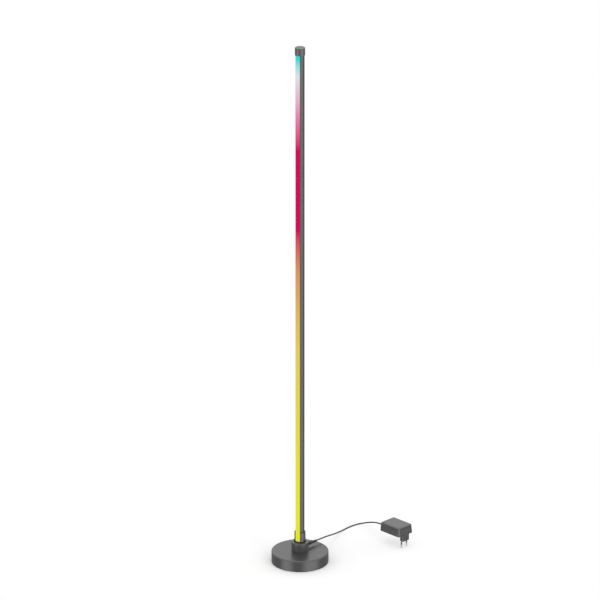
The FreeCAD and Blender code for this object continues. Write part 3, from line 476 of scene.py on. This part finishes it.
# ---------------------------------------------------------------- meshes
def around(radius, start, end, count):
    """Points of an arc round the axis, both ends included, angles in degrees."""
    points = []
    for step in range(count + 1):
        angle = math.radians(start + (end - start) * step / count)
        points.append((radius * math.cos(angle), radius * math.sin(angle)))
    return points


def softened(corners):
    """Closed outline with rounded corners, from each corner's (x, y, rounding)."""
    points = []
    for number, (x, y, rounding) in enumerate(corners):
        corner = Vector((x, y))
        if not rounding:
            points.append(corner)
            continue
        way_in = (corner - Vector(corners[number - 1][:2])).normalized()
        way_out = (Vector(corners[(number + 1) % len(corners)][:2]) - corner).normalized()
        turn = way_in.angle(way_out)
        trim = rounding * math.tan(turn / 2)
        centre = corner + (way_out - way_in).normalized() * (rounding / math.cos(turn / 2))
        start = corner - way_in * trim - centre
        end = corner + way_out * trim - centre
        steps = max(2, math.ceil(math.degrees(turn) / 10))
        for step in range(steps + 1):
            points.append(centre + start.slerp(end, step / steps).normalized() * rounding)
    return points


def drawn_in(outline, distance):
    """The outline moved inwards, counter-clockwise."""
    moved = []
    for number, point in enumerate(outline):
        way_in = (point - outline[number - 1]).normalized()
        way_out = (outline[(number + 1) % len(outline)] - point).normalized()
        normals = Vector((-way_in.y, way_in.x)), Vector((-way_out.y, way_out.x))
        share = 1 + normals[0].dot(normals[1])
        moved.append(point + (normals[0] + normals[1]) * (distance / share))
    return moved


def loft(rings, capped=True, looped=False):
    """Mesh through rings of equally many points, in millimetres."""
    shape = bmesh.new()
    made = [[shape.verts.new([value * MM for value in point]) for point in ring] for ring in rings]
    joins = list(zip(made, made[1:]))
    if looped:
        joins.append((made[-1], made[0]))
    for near, far in joins:
        for number, vert in enumerate(near):
            following = (number + 1) % len(near)
            shape.faces.new((vert, near[following], far[following], far[number]))
    if capped:
        shape.faces.new(made[0])
        shape.faces.new(made[-1])
    bmesh.ops.recalc_face_normals(shape, faces=shape.faces)
    mesh = bpy.data.meshes.new("form")
    shape.to_mesh(mesh)
    shape.free()
    return mesh


def lathe(corners, place=(0, 0, 0), axis=(0, 0, 1), segments=96):
    """Mesh turned round an axis, from (radius, distance along it, rounding) corners."""
    points = softened([(*corner, 0)[:3] for corner in corners])
    solid = any(point.x < 1e-6 for point in points)
    if solid:
        while not (points[0].x < 1e-6 and points[1].x > 1e-6):
            points = points[1:] + points[:1]
        points = [point for point in points if point.x > 1e-6]
    turn = Vector((0, 0, 1)).rotation_difference(Vector(axis)).to_matrix().to_4x4()
    move = Matrix.Translation(place) @ turn
    rings = []
    for radius, along in points:
        circle = around(radius, 0, 360, segments)[:-1]
        rings.append([move @ Vector((x, y, along)) for x, y in circle])
    return loft(rings, capped=solid, looped=not solid)


def prism(outline, low, high, edge=0.0, steps=1, rounding=3):
    """Upright mesh of a counter-clockwise outline, with rounded edges at its two ends."""
    outline = [Vector(point[:2]) for point in outline]
    levels = []
    for step in range(rounding + 1 if edge else 1):
        angle = math.radians(90 * step / rounding)
        levels.append((edge * (1 - math.sin(angle)), edge * (1 - math.cos(angle))))
    rings = [[(*point, low + rise) for point in drawn_in(outline, inset)] for inset, rise in levels]
    for step in range(1, steps):
        z = low + (high - low) * step / steps
        rings.append([(*point, z) for point in outline])
    for inset, rise in reversed(levels):
        rings.append([(*point, high - rise) for point in drawn_in(outline, inset)])
    return loft(rings)


def wall_outline(inner, outer, start, end, rounding, count):
    """Stretch of a ring, counter-clockwise, with its four corners rounded."""
    out = around(outer, start, end, count)
    back = around(inner, end, start, count)
    corners = []
    for arc in (out, back):
        for number, (x, y) in enumerate(arc):
            corners.append((x, y, rounding if number in (0, count) else 0))
    return softened(corners)


def oblong(x_span, y_span, rounding=0.0):
    corners = [(x_span[0], y_span[0]), (x_span[1], y_span[0]), (x_span[1], y_span[1]), (x_span[0], y_span[1])]
    return softened([(x, y, rounding) for x, y in corners])


def joined(*meshes):
    shape = bmesh.new()
    for mesh in meshes:
        shape.from_mesh(mesh)
        bpy.data.meshes.remove(mesh)
    whole = bpy.data.meshes.new("form")
    shape.to_mesh(whole)
    shape.free()
    return whole


def settled(holder):
    """The holder's mesh with its modifiers applied."""
    bpy.context.view_layer.update()
    return bpy.data.meshes.new_from_object(holder.evaluated_get(bpy.context.evaluated_depsgraph_get()))


def cut(mesh, *tools):
    """The mesh with the tools' forms taken out of it."""
    holder = bpy.data.objects.new("cutting", mesh)
    scene.collection.objects.link(holder)
    helpers = []
    for tool in tools:
        helper = bpy.data.objects.new("tool", tool)
        scene.collection.objects.link(helper)
        helpers.append(helper)
        modifier = holder.modifiers.new("cut", "BOOLEAN")
        modifier.operation = "DIFFERENCE"
        modifier.solver = "EXACT"
        modifier.object = helper
    result = settled(holder)
    for helper in [holder] + helpers:
        bpy.data.objects.remove(helper)
    return result


def show(name, mesh, *nodes):
    """A piece that stands for CAD nodes, with their body, slot and finish."""
    for polygon in mesh.polygons:
        polygon.use_smooth = True
    mesh.set_sharp_from_angle(angle=math.radians(38))
    piece = bpy.data.objects.new(name, mesh)
    scene.collection.objects.link(piece)
    modifier = piece.modifiers.new("normals", "WEIGHTED_NORMAL")
    modifier.keep_sharp = True
    modifier.weight = 100
    piece.data = settled(piece)
    piece.modifiers.clear()
    piece.data.name = name
    return declare(piece, *nodes)


def declare(piece, *nodes):
    slot = SLOTS[nodes[0]]
    piece.data.materials.clear()
    piece.data.materials.append(finishes[slot])
    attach(piece, frame["nodes"][nodes[0]]["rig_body"])
    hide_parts(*nodes)
    return piece


def polar(radius, degrees):
    angle = math.radians(degrees)
    return radius * math.cos(angle), radius * math.sin(angle)


# ---------------------------------------------------------------- base
def make_base():
    inner = BASE_R - COVER_WALL
    under = BASE_TOP - COVER_WALL
    bore = NIPPLE_R + 0.1
    cover = lathe(
        [(inner, COVER_FOOT, 0.3), (BASE_R, COVER_FOOT, 0.4), (BASE_R, BASE_TOP, BASE_EDGE_R),
         (bore, BASE_TOP), (bore, under), (inner, under, 1.5)],
        segments=288,
    )
    show("cover_form", cover, "base_cover")

    pad = lathe([(0, 0), (PAD_R, 0, 0.5), (PAD_R, PAD_T, 0.3), (0, PAD_T)], segments=192)
    holes = []
    for number, (radius, degrees) in enumerate(PLATE_SCREWS, 1):
        x, y = polar(radius, degrees)
        holes.append(lathe([(0, -1), (PAD_HOLE_R, -1), (PAD_HOLE_R, 3), (0, 3)], (x, y, 0)))
        low = PAD_T - SCREW_HEAD_T
        screw = lathe(
            [(0, low), (SCREW_HEAD_R, low, 0.4), (SCREW_HEAD_R, PAD_T), (SCREW_R, PAD_T),
             (SCREW_R, 9.5, 0.3), (0, 9.5)],
            (x, y, 0), segments=64,
        )
        show("plate_screw_form_%d" % number, cut(screw, hexagon(x, y, low - 1, low + HEX_DEPTH)),
             "plate_screw_%d" % number)
    show("pad_form", cut(pad, *holes), "base_pad")


def hexagon(x, y, low, high):
    corners = [polar(HEX_FLATS / math.sqrt(3), 60 * step) for step in range(6)]
    return prism([(x + dx, y + dy) for dx, dy in corners], low, high)


# ---------------------------------------------------------------- collar, socket and holder
def make_collar():
    bore = NIPPLE_R + 0.1
    collar = lathe(
        [(COLLAR_R, BASE_TOP, 0.2), (COLLAR_R, COLLAR_TOP, COLLAR_EDGE), (RECESS_R, COLLAR_TOP, 0.4),
         (RECESS_R, WEB_TOP, 0.5), (bore, WEB_TOP), (bore, WEB_LOW), (CHAMBER_R, WEB_LOW, 0.5),
         (CHAMBER_R, BASE_TOP)],
        segments=192,
    )
    neck, face, past = 4.1, 6.3, COLLAR_R + 1
    hole = lathe(
        [(0, 5), (neck, 5), (neck, NUT_FACE_Y), (face, NUT_FACE_Y), (face, past), (0, past)],
        (0, 0, JACK_Z), (0, 1, 0), 64,
    )
    outer, inner = SLOT_PITCH_R + SLOT_HALF, SLOT_PITCH_R - SLOT_HALF
    outline = around(outer, -180, 0, 36)
    outline += [(x + SLOT_PITCH_R, y) for x, y in around(SLOT_HALF, 0, 180, 8)[1:]]
    outline += around(inner, 0, -180, 36)[1:]
    outline += [(x - SLOT_PITCH_R, y) for x, y in around(SLOT_HALF, 0, 180, 8)[1:-1]]
    slot = prism(outline, WEB_LOW - 1, WEB_TOP + 1)
    show("collar_form", cut(collar, hole, slot), "pole_collar")


def make_socket():
    shoulder, back, mouth = 17.62, 8.22, 22.8
    jack = lathe(
        [(0, 12.5), (2.85, 12.5), (2.85, mouth, 0.25), (4.0, mouth, 0.2), (4.0, shoulder),
         (5.3, shoulder, 0.2), (5.3, back, 0.3), (0, back)],
        (0, 0, JACK_Z), (0, 1, 0), 64,
    )
    tab = prism(oblong((-1.25, 1.25), (10.25, 12.75)), 33.2, 36)
    show("socket_form", joined(jack, tab), "dc_jack")
    pin = lathe([(0, back), (0.95, back), (0.95, 21.3, 0.5), (0, 21.3)], (0, 0, JACK_Z), (0, 1, 0), 32)
    show("socket_pin_form", pin, "jack_pin")
    far = NUT_FACE_Y + 1.6
    nut = lathe([(4.0, NUT_FACE_Y), (6.0, NUT_FACE_Y), (6.0, far, 0.5), (4.0, far, 0.3)],
                (0, 0, JACK_Z), (0, 1, 0), 96)
    slots = [prism(oblong((middle - 1.2, middle + 1.2), (far - 0.8, far + 1)), JACK_Z - 0.6, JACK_Z + 0.6)
             for middle in (-6.0, 6.0)]
    show("ring_nut_form", cut(nut, *slots), "jack_ring_nut")


def make_holder():
    """Round neck in the collar's ring-shaped gap, and the open sleeve that grips the upright."""
    neck = lathe(
        [(NIPPLE_R, WEB_TOP), (NECK_R, WEB_TOP, 0.3), (NECK_R, NECK_HIGH), (SLEEVE_IN_R, NECK_HIGH),
         (SLEEVE_IN_R, SEAT_Z), (NIPPLE_R, SEAT_Z)],
        segments=128,
    )
    outline = wall_outline(SLEEVE_IN_R, SLEEVE_R, SLEEVE_OPEN_HALF - 90, 270 - SLEEVE_OPEN_HALF, 0.45, 96)
    sleeve = prism(outline, NECK_HIGH, SLEEVE_TOP, 0.45)
    flare = SLEEVE_R + 0.6
    hole = lathe([(0, 8), (CLAMP_R, 8), (CLAMP_R, SLEEVE_R - 0.3), (CLAMP_R + 0.9, flare), (0, flare)],
                 (0, 0, CLAMP_Z), (0, 1, 0), 48)
    show("holder_form", joined(neck, cut(sleeve, hole)), "pole_holder")
    screw = headless_screw(CLAMP_R, PIPE_R, SLEEVE_R - GRUB_SINK, CLAMP_Z)
    show("clamp_screw_form", screw, "clamp_screw")


def headless_screw(radius, near, far, z):
    """Set screw along +Y, with a hexagon socket and a soft edge at its far end."""
    body = lathe([(0, near), (radius, near, 0.3), (radius, far, 0.25), (0, far)], segments=48)
    screw = cut(body, hexagon(0, 0, far - HEX_DEPTH, far + 1))
    screw.transform(Matrix.Translation((0, 0, z * MM)) @ Matrix.Rotation(math.radians(-90), 4, "X"))
    return screw


# ---------------------------------------------------------------- upright
def screw_hole(z):
    wide = GRUB_R + 0.1
    flare = PIPE_R + 0.6
    return lathe([(0, 8), (wide, 8), (wide, PIPE_R - 0.12), (wide + 0.72, flare), (0, flare)],
                 (0, 0, z), (0, 1, 0), 48)


def chamber_outline(radius):
    """D shape of the space behind the inner web."""
    start = math.degrees(math.asin(CHAMBER_FRONT / radius))
    return around(radius, start, 180 - start, 48)


def make_upright():
    wall = wall_outline(PIPE_IN_R, PIPE_R, OPENING_HALF - 90, 270 - OPENING_HALF, 0.3, 96)
    web = oblong((-10.5, 10.5), (-WEB_FRONT, INNER_WEB_T - WEB_FRONT))
    for number, (low, high) in enumerate(SECTIONS, 1):
        holes = []
        if number > 1:
            holes.append(screw_hole(JOINTS[number - 2] + JOINER_SCREW_Z))
        if number <= len(JOINTS):
            holes.append(screw_hole(JOINTS[number - 1] - JOINER_SCREW_Z))
        pipe = cut(prism(wall, low, high, 0.15), *holes)
        show("section_form_%d" % number, joined(pipe, prism(web, low, high)), "profile_%d" % number)

    flange = wall_outline(PIPE_IN_R - 1, FLANGE_R, OPENING_HALF - 90, 270 - OPENING_HALF, 0.2, 72)
    for number, z in enumerate(JOINTS, 1):
        bar = prism(chamber_outline(PIPE_IN_R - 0.15), z - JOINER_HALF, z + JOINER_HALF)
        ring = prism(flange, z - JOINT_GAP / 2, z + JOINT_GAP / 2)
        show("joiner_form_%d" % number, joined(bar, ring), "joiner_%d" % number)
        for place, side in (("low", -1), ("high", 1)):
            far = PIPE_R - GRUB_SINK
            screw = headless_screw(GRUB_R, far - GRUB_LENGTH, far, z + side * JOINER_SCREW_Z)
            show("joiner_screw_form_%d_%s" % (number, place), screw, "joiner_%d_screw_%s" % (number, place))


def make_strip():
    """One unbroken translucent strip, with the hooks that grip behind the pipe's edges."""
    low, high = SEAT_Z + 0.15, UPRIGHT_TOP - 0.15
    skin = wall_outline(PIPE_R - DIFFUSER_T, PIPE_R, -90 - DIFFUSER_HALF, DIFFUSER_HALF - 90, 0.3, 40)
    parts = [prism(skin, low, high, 0.15, steps=96)]
    for side in (-1, 1):
        middle = -90 + side * 44.5
        hook = wall_outline(9.0, 10.3, middle - 3.7, middle + 3.7, 0.15, 4)
        parts.append(prism(hook, low, high))
    show("strip_form", joined(*parts), "diffuser")


def make_cap():
    inner = PIPE_R + 0.15
    shell = lathe(
        [(0, UPRIGHT_TOP), (inner, UPRIGHT_TOP), (inner, CAP_LOW, 0.3), (CAP_R, CAP_LOW, 0.4),
         (CAP_R, CAP_TOP, 0.9), (0, CAP_TOP)],
        segments=144,
    )
    plug = prism(chamber_outline(PIPE_IN_R - 0.15), UPRIGHT_TOP - 12, UPRIGHT_TOP + 0.5)
    show("cap_form", joined(shell, plug), "top_cap")


# ---------------------------------------------------------------- lead
def grooves(radius_at, first, count):
    """Corners of ring-shaped grooves in a cone, whose radius is a function of the place."""
    corners = []
    for step in range(count):
        start = first + step * RING_PITCH
        end = start + RING_GAP_W
        floor = min(radius_at(start), radius_at(end)) - RING_GAP_D
        corners += [(radius_at(start), start, 0.15), (floor, start, 0.15),
                    (floor, end, 0.15), (radius_at(end), end, 0.15)]
    return corners


def make_lead():
    slope = (GRIP_R - GRIP_END_R) / (GRIP_LENGTH - GRIP_STRAIGHT)
    corners = [(0, 0), (GRIP_R, 0, 0.7), (GRIP_R, GRIP_STRAIGHT, 6.0)]
    corners += grooves(lambda along: GRIP_R - slope * (along - GRIP_STRAIGHT),
                       GRIP_LENGTH - 3.5 * RING_PITCH, 3)
    corners += [(GRIP_END_R, GRIP_LENGTH, 0.4), (0, GRIP_LENGTH)]
    grip = show("grip_form", lathe(corners, (0, GRIP_Y, JACK_Z), (0, 1, 0)), "plug_grip")

    barrel = lathe(
        [(0, 24.5), (1.05, 24.5), (1.05, BARREL_TIP_Y, 0.15), (BARREL_R, BARREL_TIP_Y, 0.4),
         (BARREL_R, 32.5), (0, 32.5)],
        (0, 0, JACK_Z), (0, 1, 0), 64,
    )
    barrel = show("barrel_form", barrel, "plug_barrel")

    length = ADAPTER_X - ADAPTER_L / 2 - CORD_END_X
    slope = 1.3 / length
    corners = [(0, 0), (2.5, 0, 0.4)]
    corners += grooves(lambda along: 2.5 + slope * along, 2.5, 3)
    corners += [(3.8, length), (3.8, length + 2), (0, length + 2)]
    relief = lathe(corners, (CORD_END_X, ADAPTER_Y, CORD_IN_Z), (1, 0, 0), 72)
    relief = show("relief_form", relief, "cord_relief")
    return [grip, barrel, relief]


def make_cord():
    curve = bpy.data.curves.new("cord_form", "CURVE")
    curve.dimensions = "3D"
    curve.bevel_depth = CORD_R
    curve.bevel_resolution = 8
    curve.resolution_u = 16
    curve.use_fill_caps = True
    line = curve.splines.new("NURBS")
    line.points.add(len(CORD_ROUTE) - 1)
    for point, place in zip(line.points, CORD_ROUTE):
        point.co = (*place, 1.0)
    line.order_u = 3
    line.use_endpoint_u = True
    line.use_smooth = True
    cord = bpy.data.objects.new("cord_form", curve)
    scene.collection.objects.link(cord)
    declare(cord, "power_cord")


# ---------------------------------------------------------------- adapter
def adapter_ring(inset, z):
    """Level ring of the drafted adapter, its sides moved in by inset."""
    radius = ADAPTER_CORNER_R - inset - ADAPTER_SLOPE * (z - ADAPTER_LOW)
    half_x = ADAPTER_L / 2 - ADAPTER_CORNER_R
    half_y = ADAPTER_W / 2 - ADAPTER_CORNER_R
    points = []
    for quarter, (sx, sy) in enumerate(((1, 1), (-1, 1), (-1, -1), (1, -1))):
        for dx, dy in around(radius, 90 * quarter, 90 * quarter + 90, 12):
            points.append((ADAPTER_X + sx * half_x + dx, ADAPTER_Y + sy * half_y + dy, z))
    return points


def make_adapter():
    floor = ADAPTER_LOW + ADAPTER_WALL
    lower = [adapter_ring(ADAPTER_WALL, floor), adapter_ring(ADAPTER_WALL, SEAM_Z),
             adapter_ring(SEAM, SEAM_Z), adapter_ring(SEAM, SEAM_Z - SEAM),
             adapter_ring(0.12, SEAM_Z - SEAM), adapter_ring(0, SEAM_Z - SEAM - 0.12)]
    for degrees in range(0, 91, 15):
        angle = math.radians(degrees)
        lower.append(adapter_ring(ADAPTER_FOOT * (1 - math.cos(angle)),
                                  ADAPTER_LOW + ADAPTER_FOOT * (1 - math.sin(angle))))
    show("lower_shell_form", cut(loft(lower), make_panel_gap()), "adapter_lower")

    upper = [adapter_ring(ADAPTER_WALL, ADAPTER_TOP - ADAPTER_WALL), adapter_ring(ADAPTER_WALL, SEAM_Z),
             adapter_ring(0.12, SEAM_Z), adapter_ring(0, SEAM_Z + 0.12)]
    for degrees in range(0, 91, 9):
        angle = math.radians(degrees)
        upper.append(adapter_ring(ADAPTER_TOP_R * (1 - math.cos(angle)),
                                  ADAPTER_TOP - ADAPTER_TOP_R * (1 - math.sin(angle))))
    show("upper_shell_form", cut(loft(upper), make_panel_gap()), "adapter_upper")

    show("plug_head_form", joined(make_boss(), make_panel()), "plug_head")
    for number, y in enumerate(PIN_YS, 1):
        pin = lathe(
            [(0, 0), (PIN_R, 0, 1.0), (PIN_R, SLEEVE_LOW, 0.1), (PIN_CORE_R, SLEEVE_LOW),
             (PIN_CORE_R, HEAD_LOW), (PIN_ROOT_R, HEAD_LOW), (PIN_ROOT_R, PIN_END), (0, PIN_END)],
            (PIN_X, y, 0), segments=64,
        )
        sleeve = lathe(
            [(PIN_CORE_R, SLEEVE_LOW), (PIN_SLEEVE_R, SLEEVE_LOW, 0.15), (PIN_SLEEVE_R, HEAD_LOW),
             (PIN_CORE_R, HEAD_LOW)],
            (PIN_X, y, 0), segments=64,
        )
        show("mains_pin_form_%d" % number, pin, "mains_pin_%d" % number)
        show("sleeve_form_%d" % number, sleeve, "pin_sleeve_%d" % number)


def make_boss():
    """Block below the adapter that carries the pins, with a bevelled foot."""
    y_span = (ADAPTER_Y - HEAD_Y / 2, ADAPTER_Y + HEAD_Y / 2)
    outline = oblong((HEAD_END_X - HEAD_X, HEAD_END_X), y_span, 2.0)
    rings = []
    for inset, z in ((1.8, HEAD_LOW), (1.55, HEAD_LOW + 0.08), (0.12, HEAD_LOW + 1.6), (0, HEAD_LOW + 1.9),
                     (0, ADAPTER_LOW)):
        rings.append([(*point, z) for point in drawn_in(outline, inset)])
    return loft(rings)


def panel_rings(levels):
    """The end panel's outline at steps of (moved in, proud of the sloping end face)."""
    wide, narrow = PANEL_W / 2, HEAD_Y / 2 - 2
    low, high = PANEL_Z
    outline = softened(
        [(-narrow, ADAPTER_LOW, 0), (narrow, ADAPTER_LOW, 0), (narrow, low, 0.8), (wide, low, 3),
         (wide, high, 3), (-wide, high, 3), (-wide, low, 3), (-narrow, low, 0.8)]
    )
    rings = []
    for inset, proud in levels:
        ring = []
        for along, z in drawn_in(outline, inset):
            face_x = ADAPTER_X + ADAPTER_L / 2 - ADAPTER_SLOPE * (z - ADAPTER_LOW)
            ring.append((face_x + proud, ADAPTER_Y + along, z))
        rings.append(ring)
    return rings


def make_panel():
    """Raised panel up the adapter's end face, which runs down into the boss."""
    edge = [(0, PANEL_PROUD - 0.35), (0.1, PANEL_PROUD - 0.1), (0.35, PANEL_PROUD)]
    return loft(panel_rings([(0, -1.2)] + edge))


def make_panel_gap():
    """Form of the narrow groove between the panel and the shells round it."""
    return loft(panel_rings([(0, -PANEL_GAP_D), (0, 1), (-PANEL_GAP_W, 1), (-PANEL_GAP_W, -PANEL_GAP_D)]),
                capped=False, looped=True)


# ---------------------------------------------------------------- studio
def make_floor():
    """Pale floor: it takes the lamp's shadow, and what it lacks to white it gives the camera.

    Further from the lamp it is plain white to the camera.
    """
    mesh = bpy.data.meshes.new("floor")
    mesh.from_pydata([(-30, -30, 0), (30, -30, 0), (30, 30, 0), (-30, 30, 0)], [], [(0, 1, 2, 3)])
    floor = bpy.data.objects.new("floor", mesh)
    scene.collection.objects.link(floor)
    floor.visible_glossy = False
    finish = Finish("floor", (0.8, 0.8, 0.8), 0.9, Specular_IOR_Level=0.0, Emission_Strength=1.0)
    ray = finish.add("ShaderNodeLightPath").outputs["Is Camera Ray"]
    offset = finish.add("ShaderNodeVectorMath", {"operation": "DISTANCE"})
    finish.feed(offset.inputs[0], finish.place)
    finish.feed(offset.inputs[1], (0.03, 0.12, 0))
    far = finish.span(offset.outputs["Value"], 0.0, 1.0, 0.35, 1.1)
    from_base = finish.add("ShaderNodeVectorMath", {"operation": "LENGTH"}, Vector=finish.place)
    past = finish.span(from_base.outputs["Value"], 0.0, 1.0, 0.1, 0.24)
    lit = finish.blend(past, (0.06, 0.06, 0.06), (0.6, 0.6, 0.6))
    white = finish.blend(far, lit, (1, 1, 1))
    finish.feed(finish.shader.inputs["Emission Color"], finish.blend(ray, (0, 0, 0), white))
    pale = finish.blend(far, finish.blend(past, (0.94, 0.94, 0.94), (0.42, 0.42, 0.42)), (0, 0, 0))
    finish.colour(finish.blend(ray, (0.8, 0.8, 0.8), pale))
    mesh.materials.append(finish.material)


def make_lights():
    for name, place, size, watts in (
        ("overhead", (0.4, -0.3, 3.6), 2.6, 25.0),
        ("side", (3.4, -0.6, 2.2), 1.6, 20.0),
        ("front", (-1.6, -3.4, 2.0), 1.6, 6.0),
    ):
        data = bpy.data.lights.new(name, "AREA")
        data.size = size
        data.energy = watts
        lamp = bpy.data.objects.new(name, data)
        scene.collection.objects.link(lamp)
        lamp.location = place
        towards = Vector((0, 0, 0.5)) - lamp.location
        lamp.rotation_euler = towards.to_track_quat("-Z", "Y").to_euler()
        lamp.visible_glossy = False


def make_world():
    """Even pale studio. What shines sees white above the horizon, and below it grey with two soft
    panels, so that the round black pieces get their light stripes."""
    world = bpy.data.worlds.new("studio")
    scene.world = world
    world.use_nodes = True
    tree = world.node_tree
    background = tree.nodes["Background"]

    def node(kind, settings=(), **inputs):
        made = tree.nodes.new(kind)
        for key, value in dict(settings).items():
            setattr(made, key, value)
        for key, value in inputs.items():
            feed(made.inputs[key.replace("_", " ")], value)
        return made

    def feed(socket, value):
        if isinstance(value, bpy.types.NodeSocket):
            tree.links.new(value, socket)
        else:
            socket.default_value = value

    def sum_of(operation, first, second):
        made = node("ShaderNodeMath", {"operation": operation})
        feed(made.inputs[0], first)
        feed(made.inputs[1], second)
        return made.outputs[0]

    def soft_step(value, start, end, low, high):
        made = node("ShaderNodeMapRange", {"interpolation_type": "SMOOTHSTEP"}, Value=value)
        for key, number in (("From Min", start), ("From Max", end), ("To Min", low), ("To Max", high)):
            made.inputs[key].default_value = number
        return made.outputs["Result"]

    way = node("ShaderNodeTexCoord").outputs["Generated"]
    height = node("ShaderNodeSeparateXYZ", Vector=way).outputs["Z"]
    flat = node("ShaderNodeVectorMath", {"operation": "MULTIPLY"})
    feed(flat.inputs[0], way)
    feed(flat.inputs[1], (1, 1, 0))
    level = node("ShaderNodeVectorMath", {"operation": "NORMALIZE"})
    feed(level.inputs[0], flat.outputs[0])
    below = 0.34
    for degrees, reach, strength in ((1, 44, 1.05), (-100, 32, 1.05)):
        panel = node("ShaderNodeVectorMath", {"operation": "DOT_PRODUCT"})
        feed(panel.inputs[0], level.outputs[0])
        angle = math.radians(degrees)
        feed(panel.inputs[1], (math.cos(angle), math.sin(angle), 0))
        stripe = soft_step(panel.outputs["Value"], math.cos(math.radians(reach)),
                           math.cos(math.radians(6)), 0.0, strength)
        below = sum_of("ADD", stripe, below)
    above = soft_step(height, -0.12, 0.06, 0.0, 1.0)
    shine = sum_of("ADD", sum_of("MULTIPLY", above, 1.0),
                   sum_of("MULTIPLY", below, sum_of("SUBTRACT", 1.0, above)))
    path = node("ShaderNodeLightPath")
    sharp = sum_of("MAXIMUM", path.outputs["Is Glossy Ray"], path.outputs["Is Transmission Ray"])
    ambient = 0.78
    other = sum_of("ADD", sum_of("MULTIPLY", sharp, shine),
                   sum_of("MULTIPLY", sum_of("SUBTRACT", 1.0, sharp), ambient))
    camera = path.outputs["Is Camera Ray"]
    strength = sum_of("ADD", camera, sum_of("MULTIPLY", sum_of("SUBTRACT", 1.0, camera), other))
    feed(background.inputs["Strength"], strength)
    background.inputs["Color"].default_value = (1, 1, 1, 1)


# ---------------------------------------------------------------- all of it
make_camera()
lead_pieces = make_lead()
make_adapter()
make_cord()
make_base()
make_collar()
make_socket()
make_holder()
make_upright()
make_strip()
make_cap()
for name, solid in frame["nodes"].items():
    solid.data.materials.clear()
    solid.data.materials.append(finishes[SLOTS[name]])
make_floor()
make_lights()
make_world()
scene.view_settings.view_transform = "Standard"
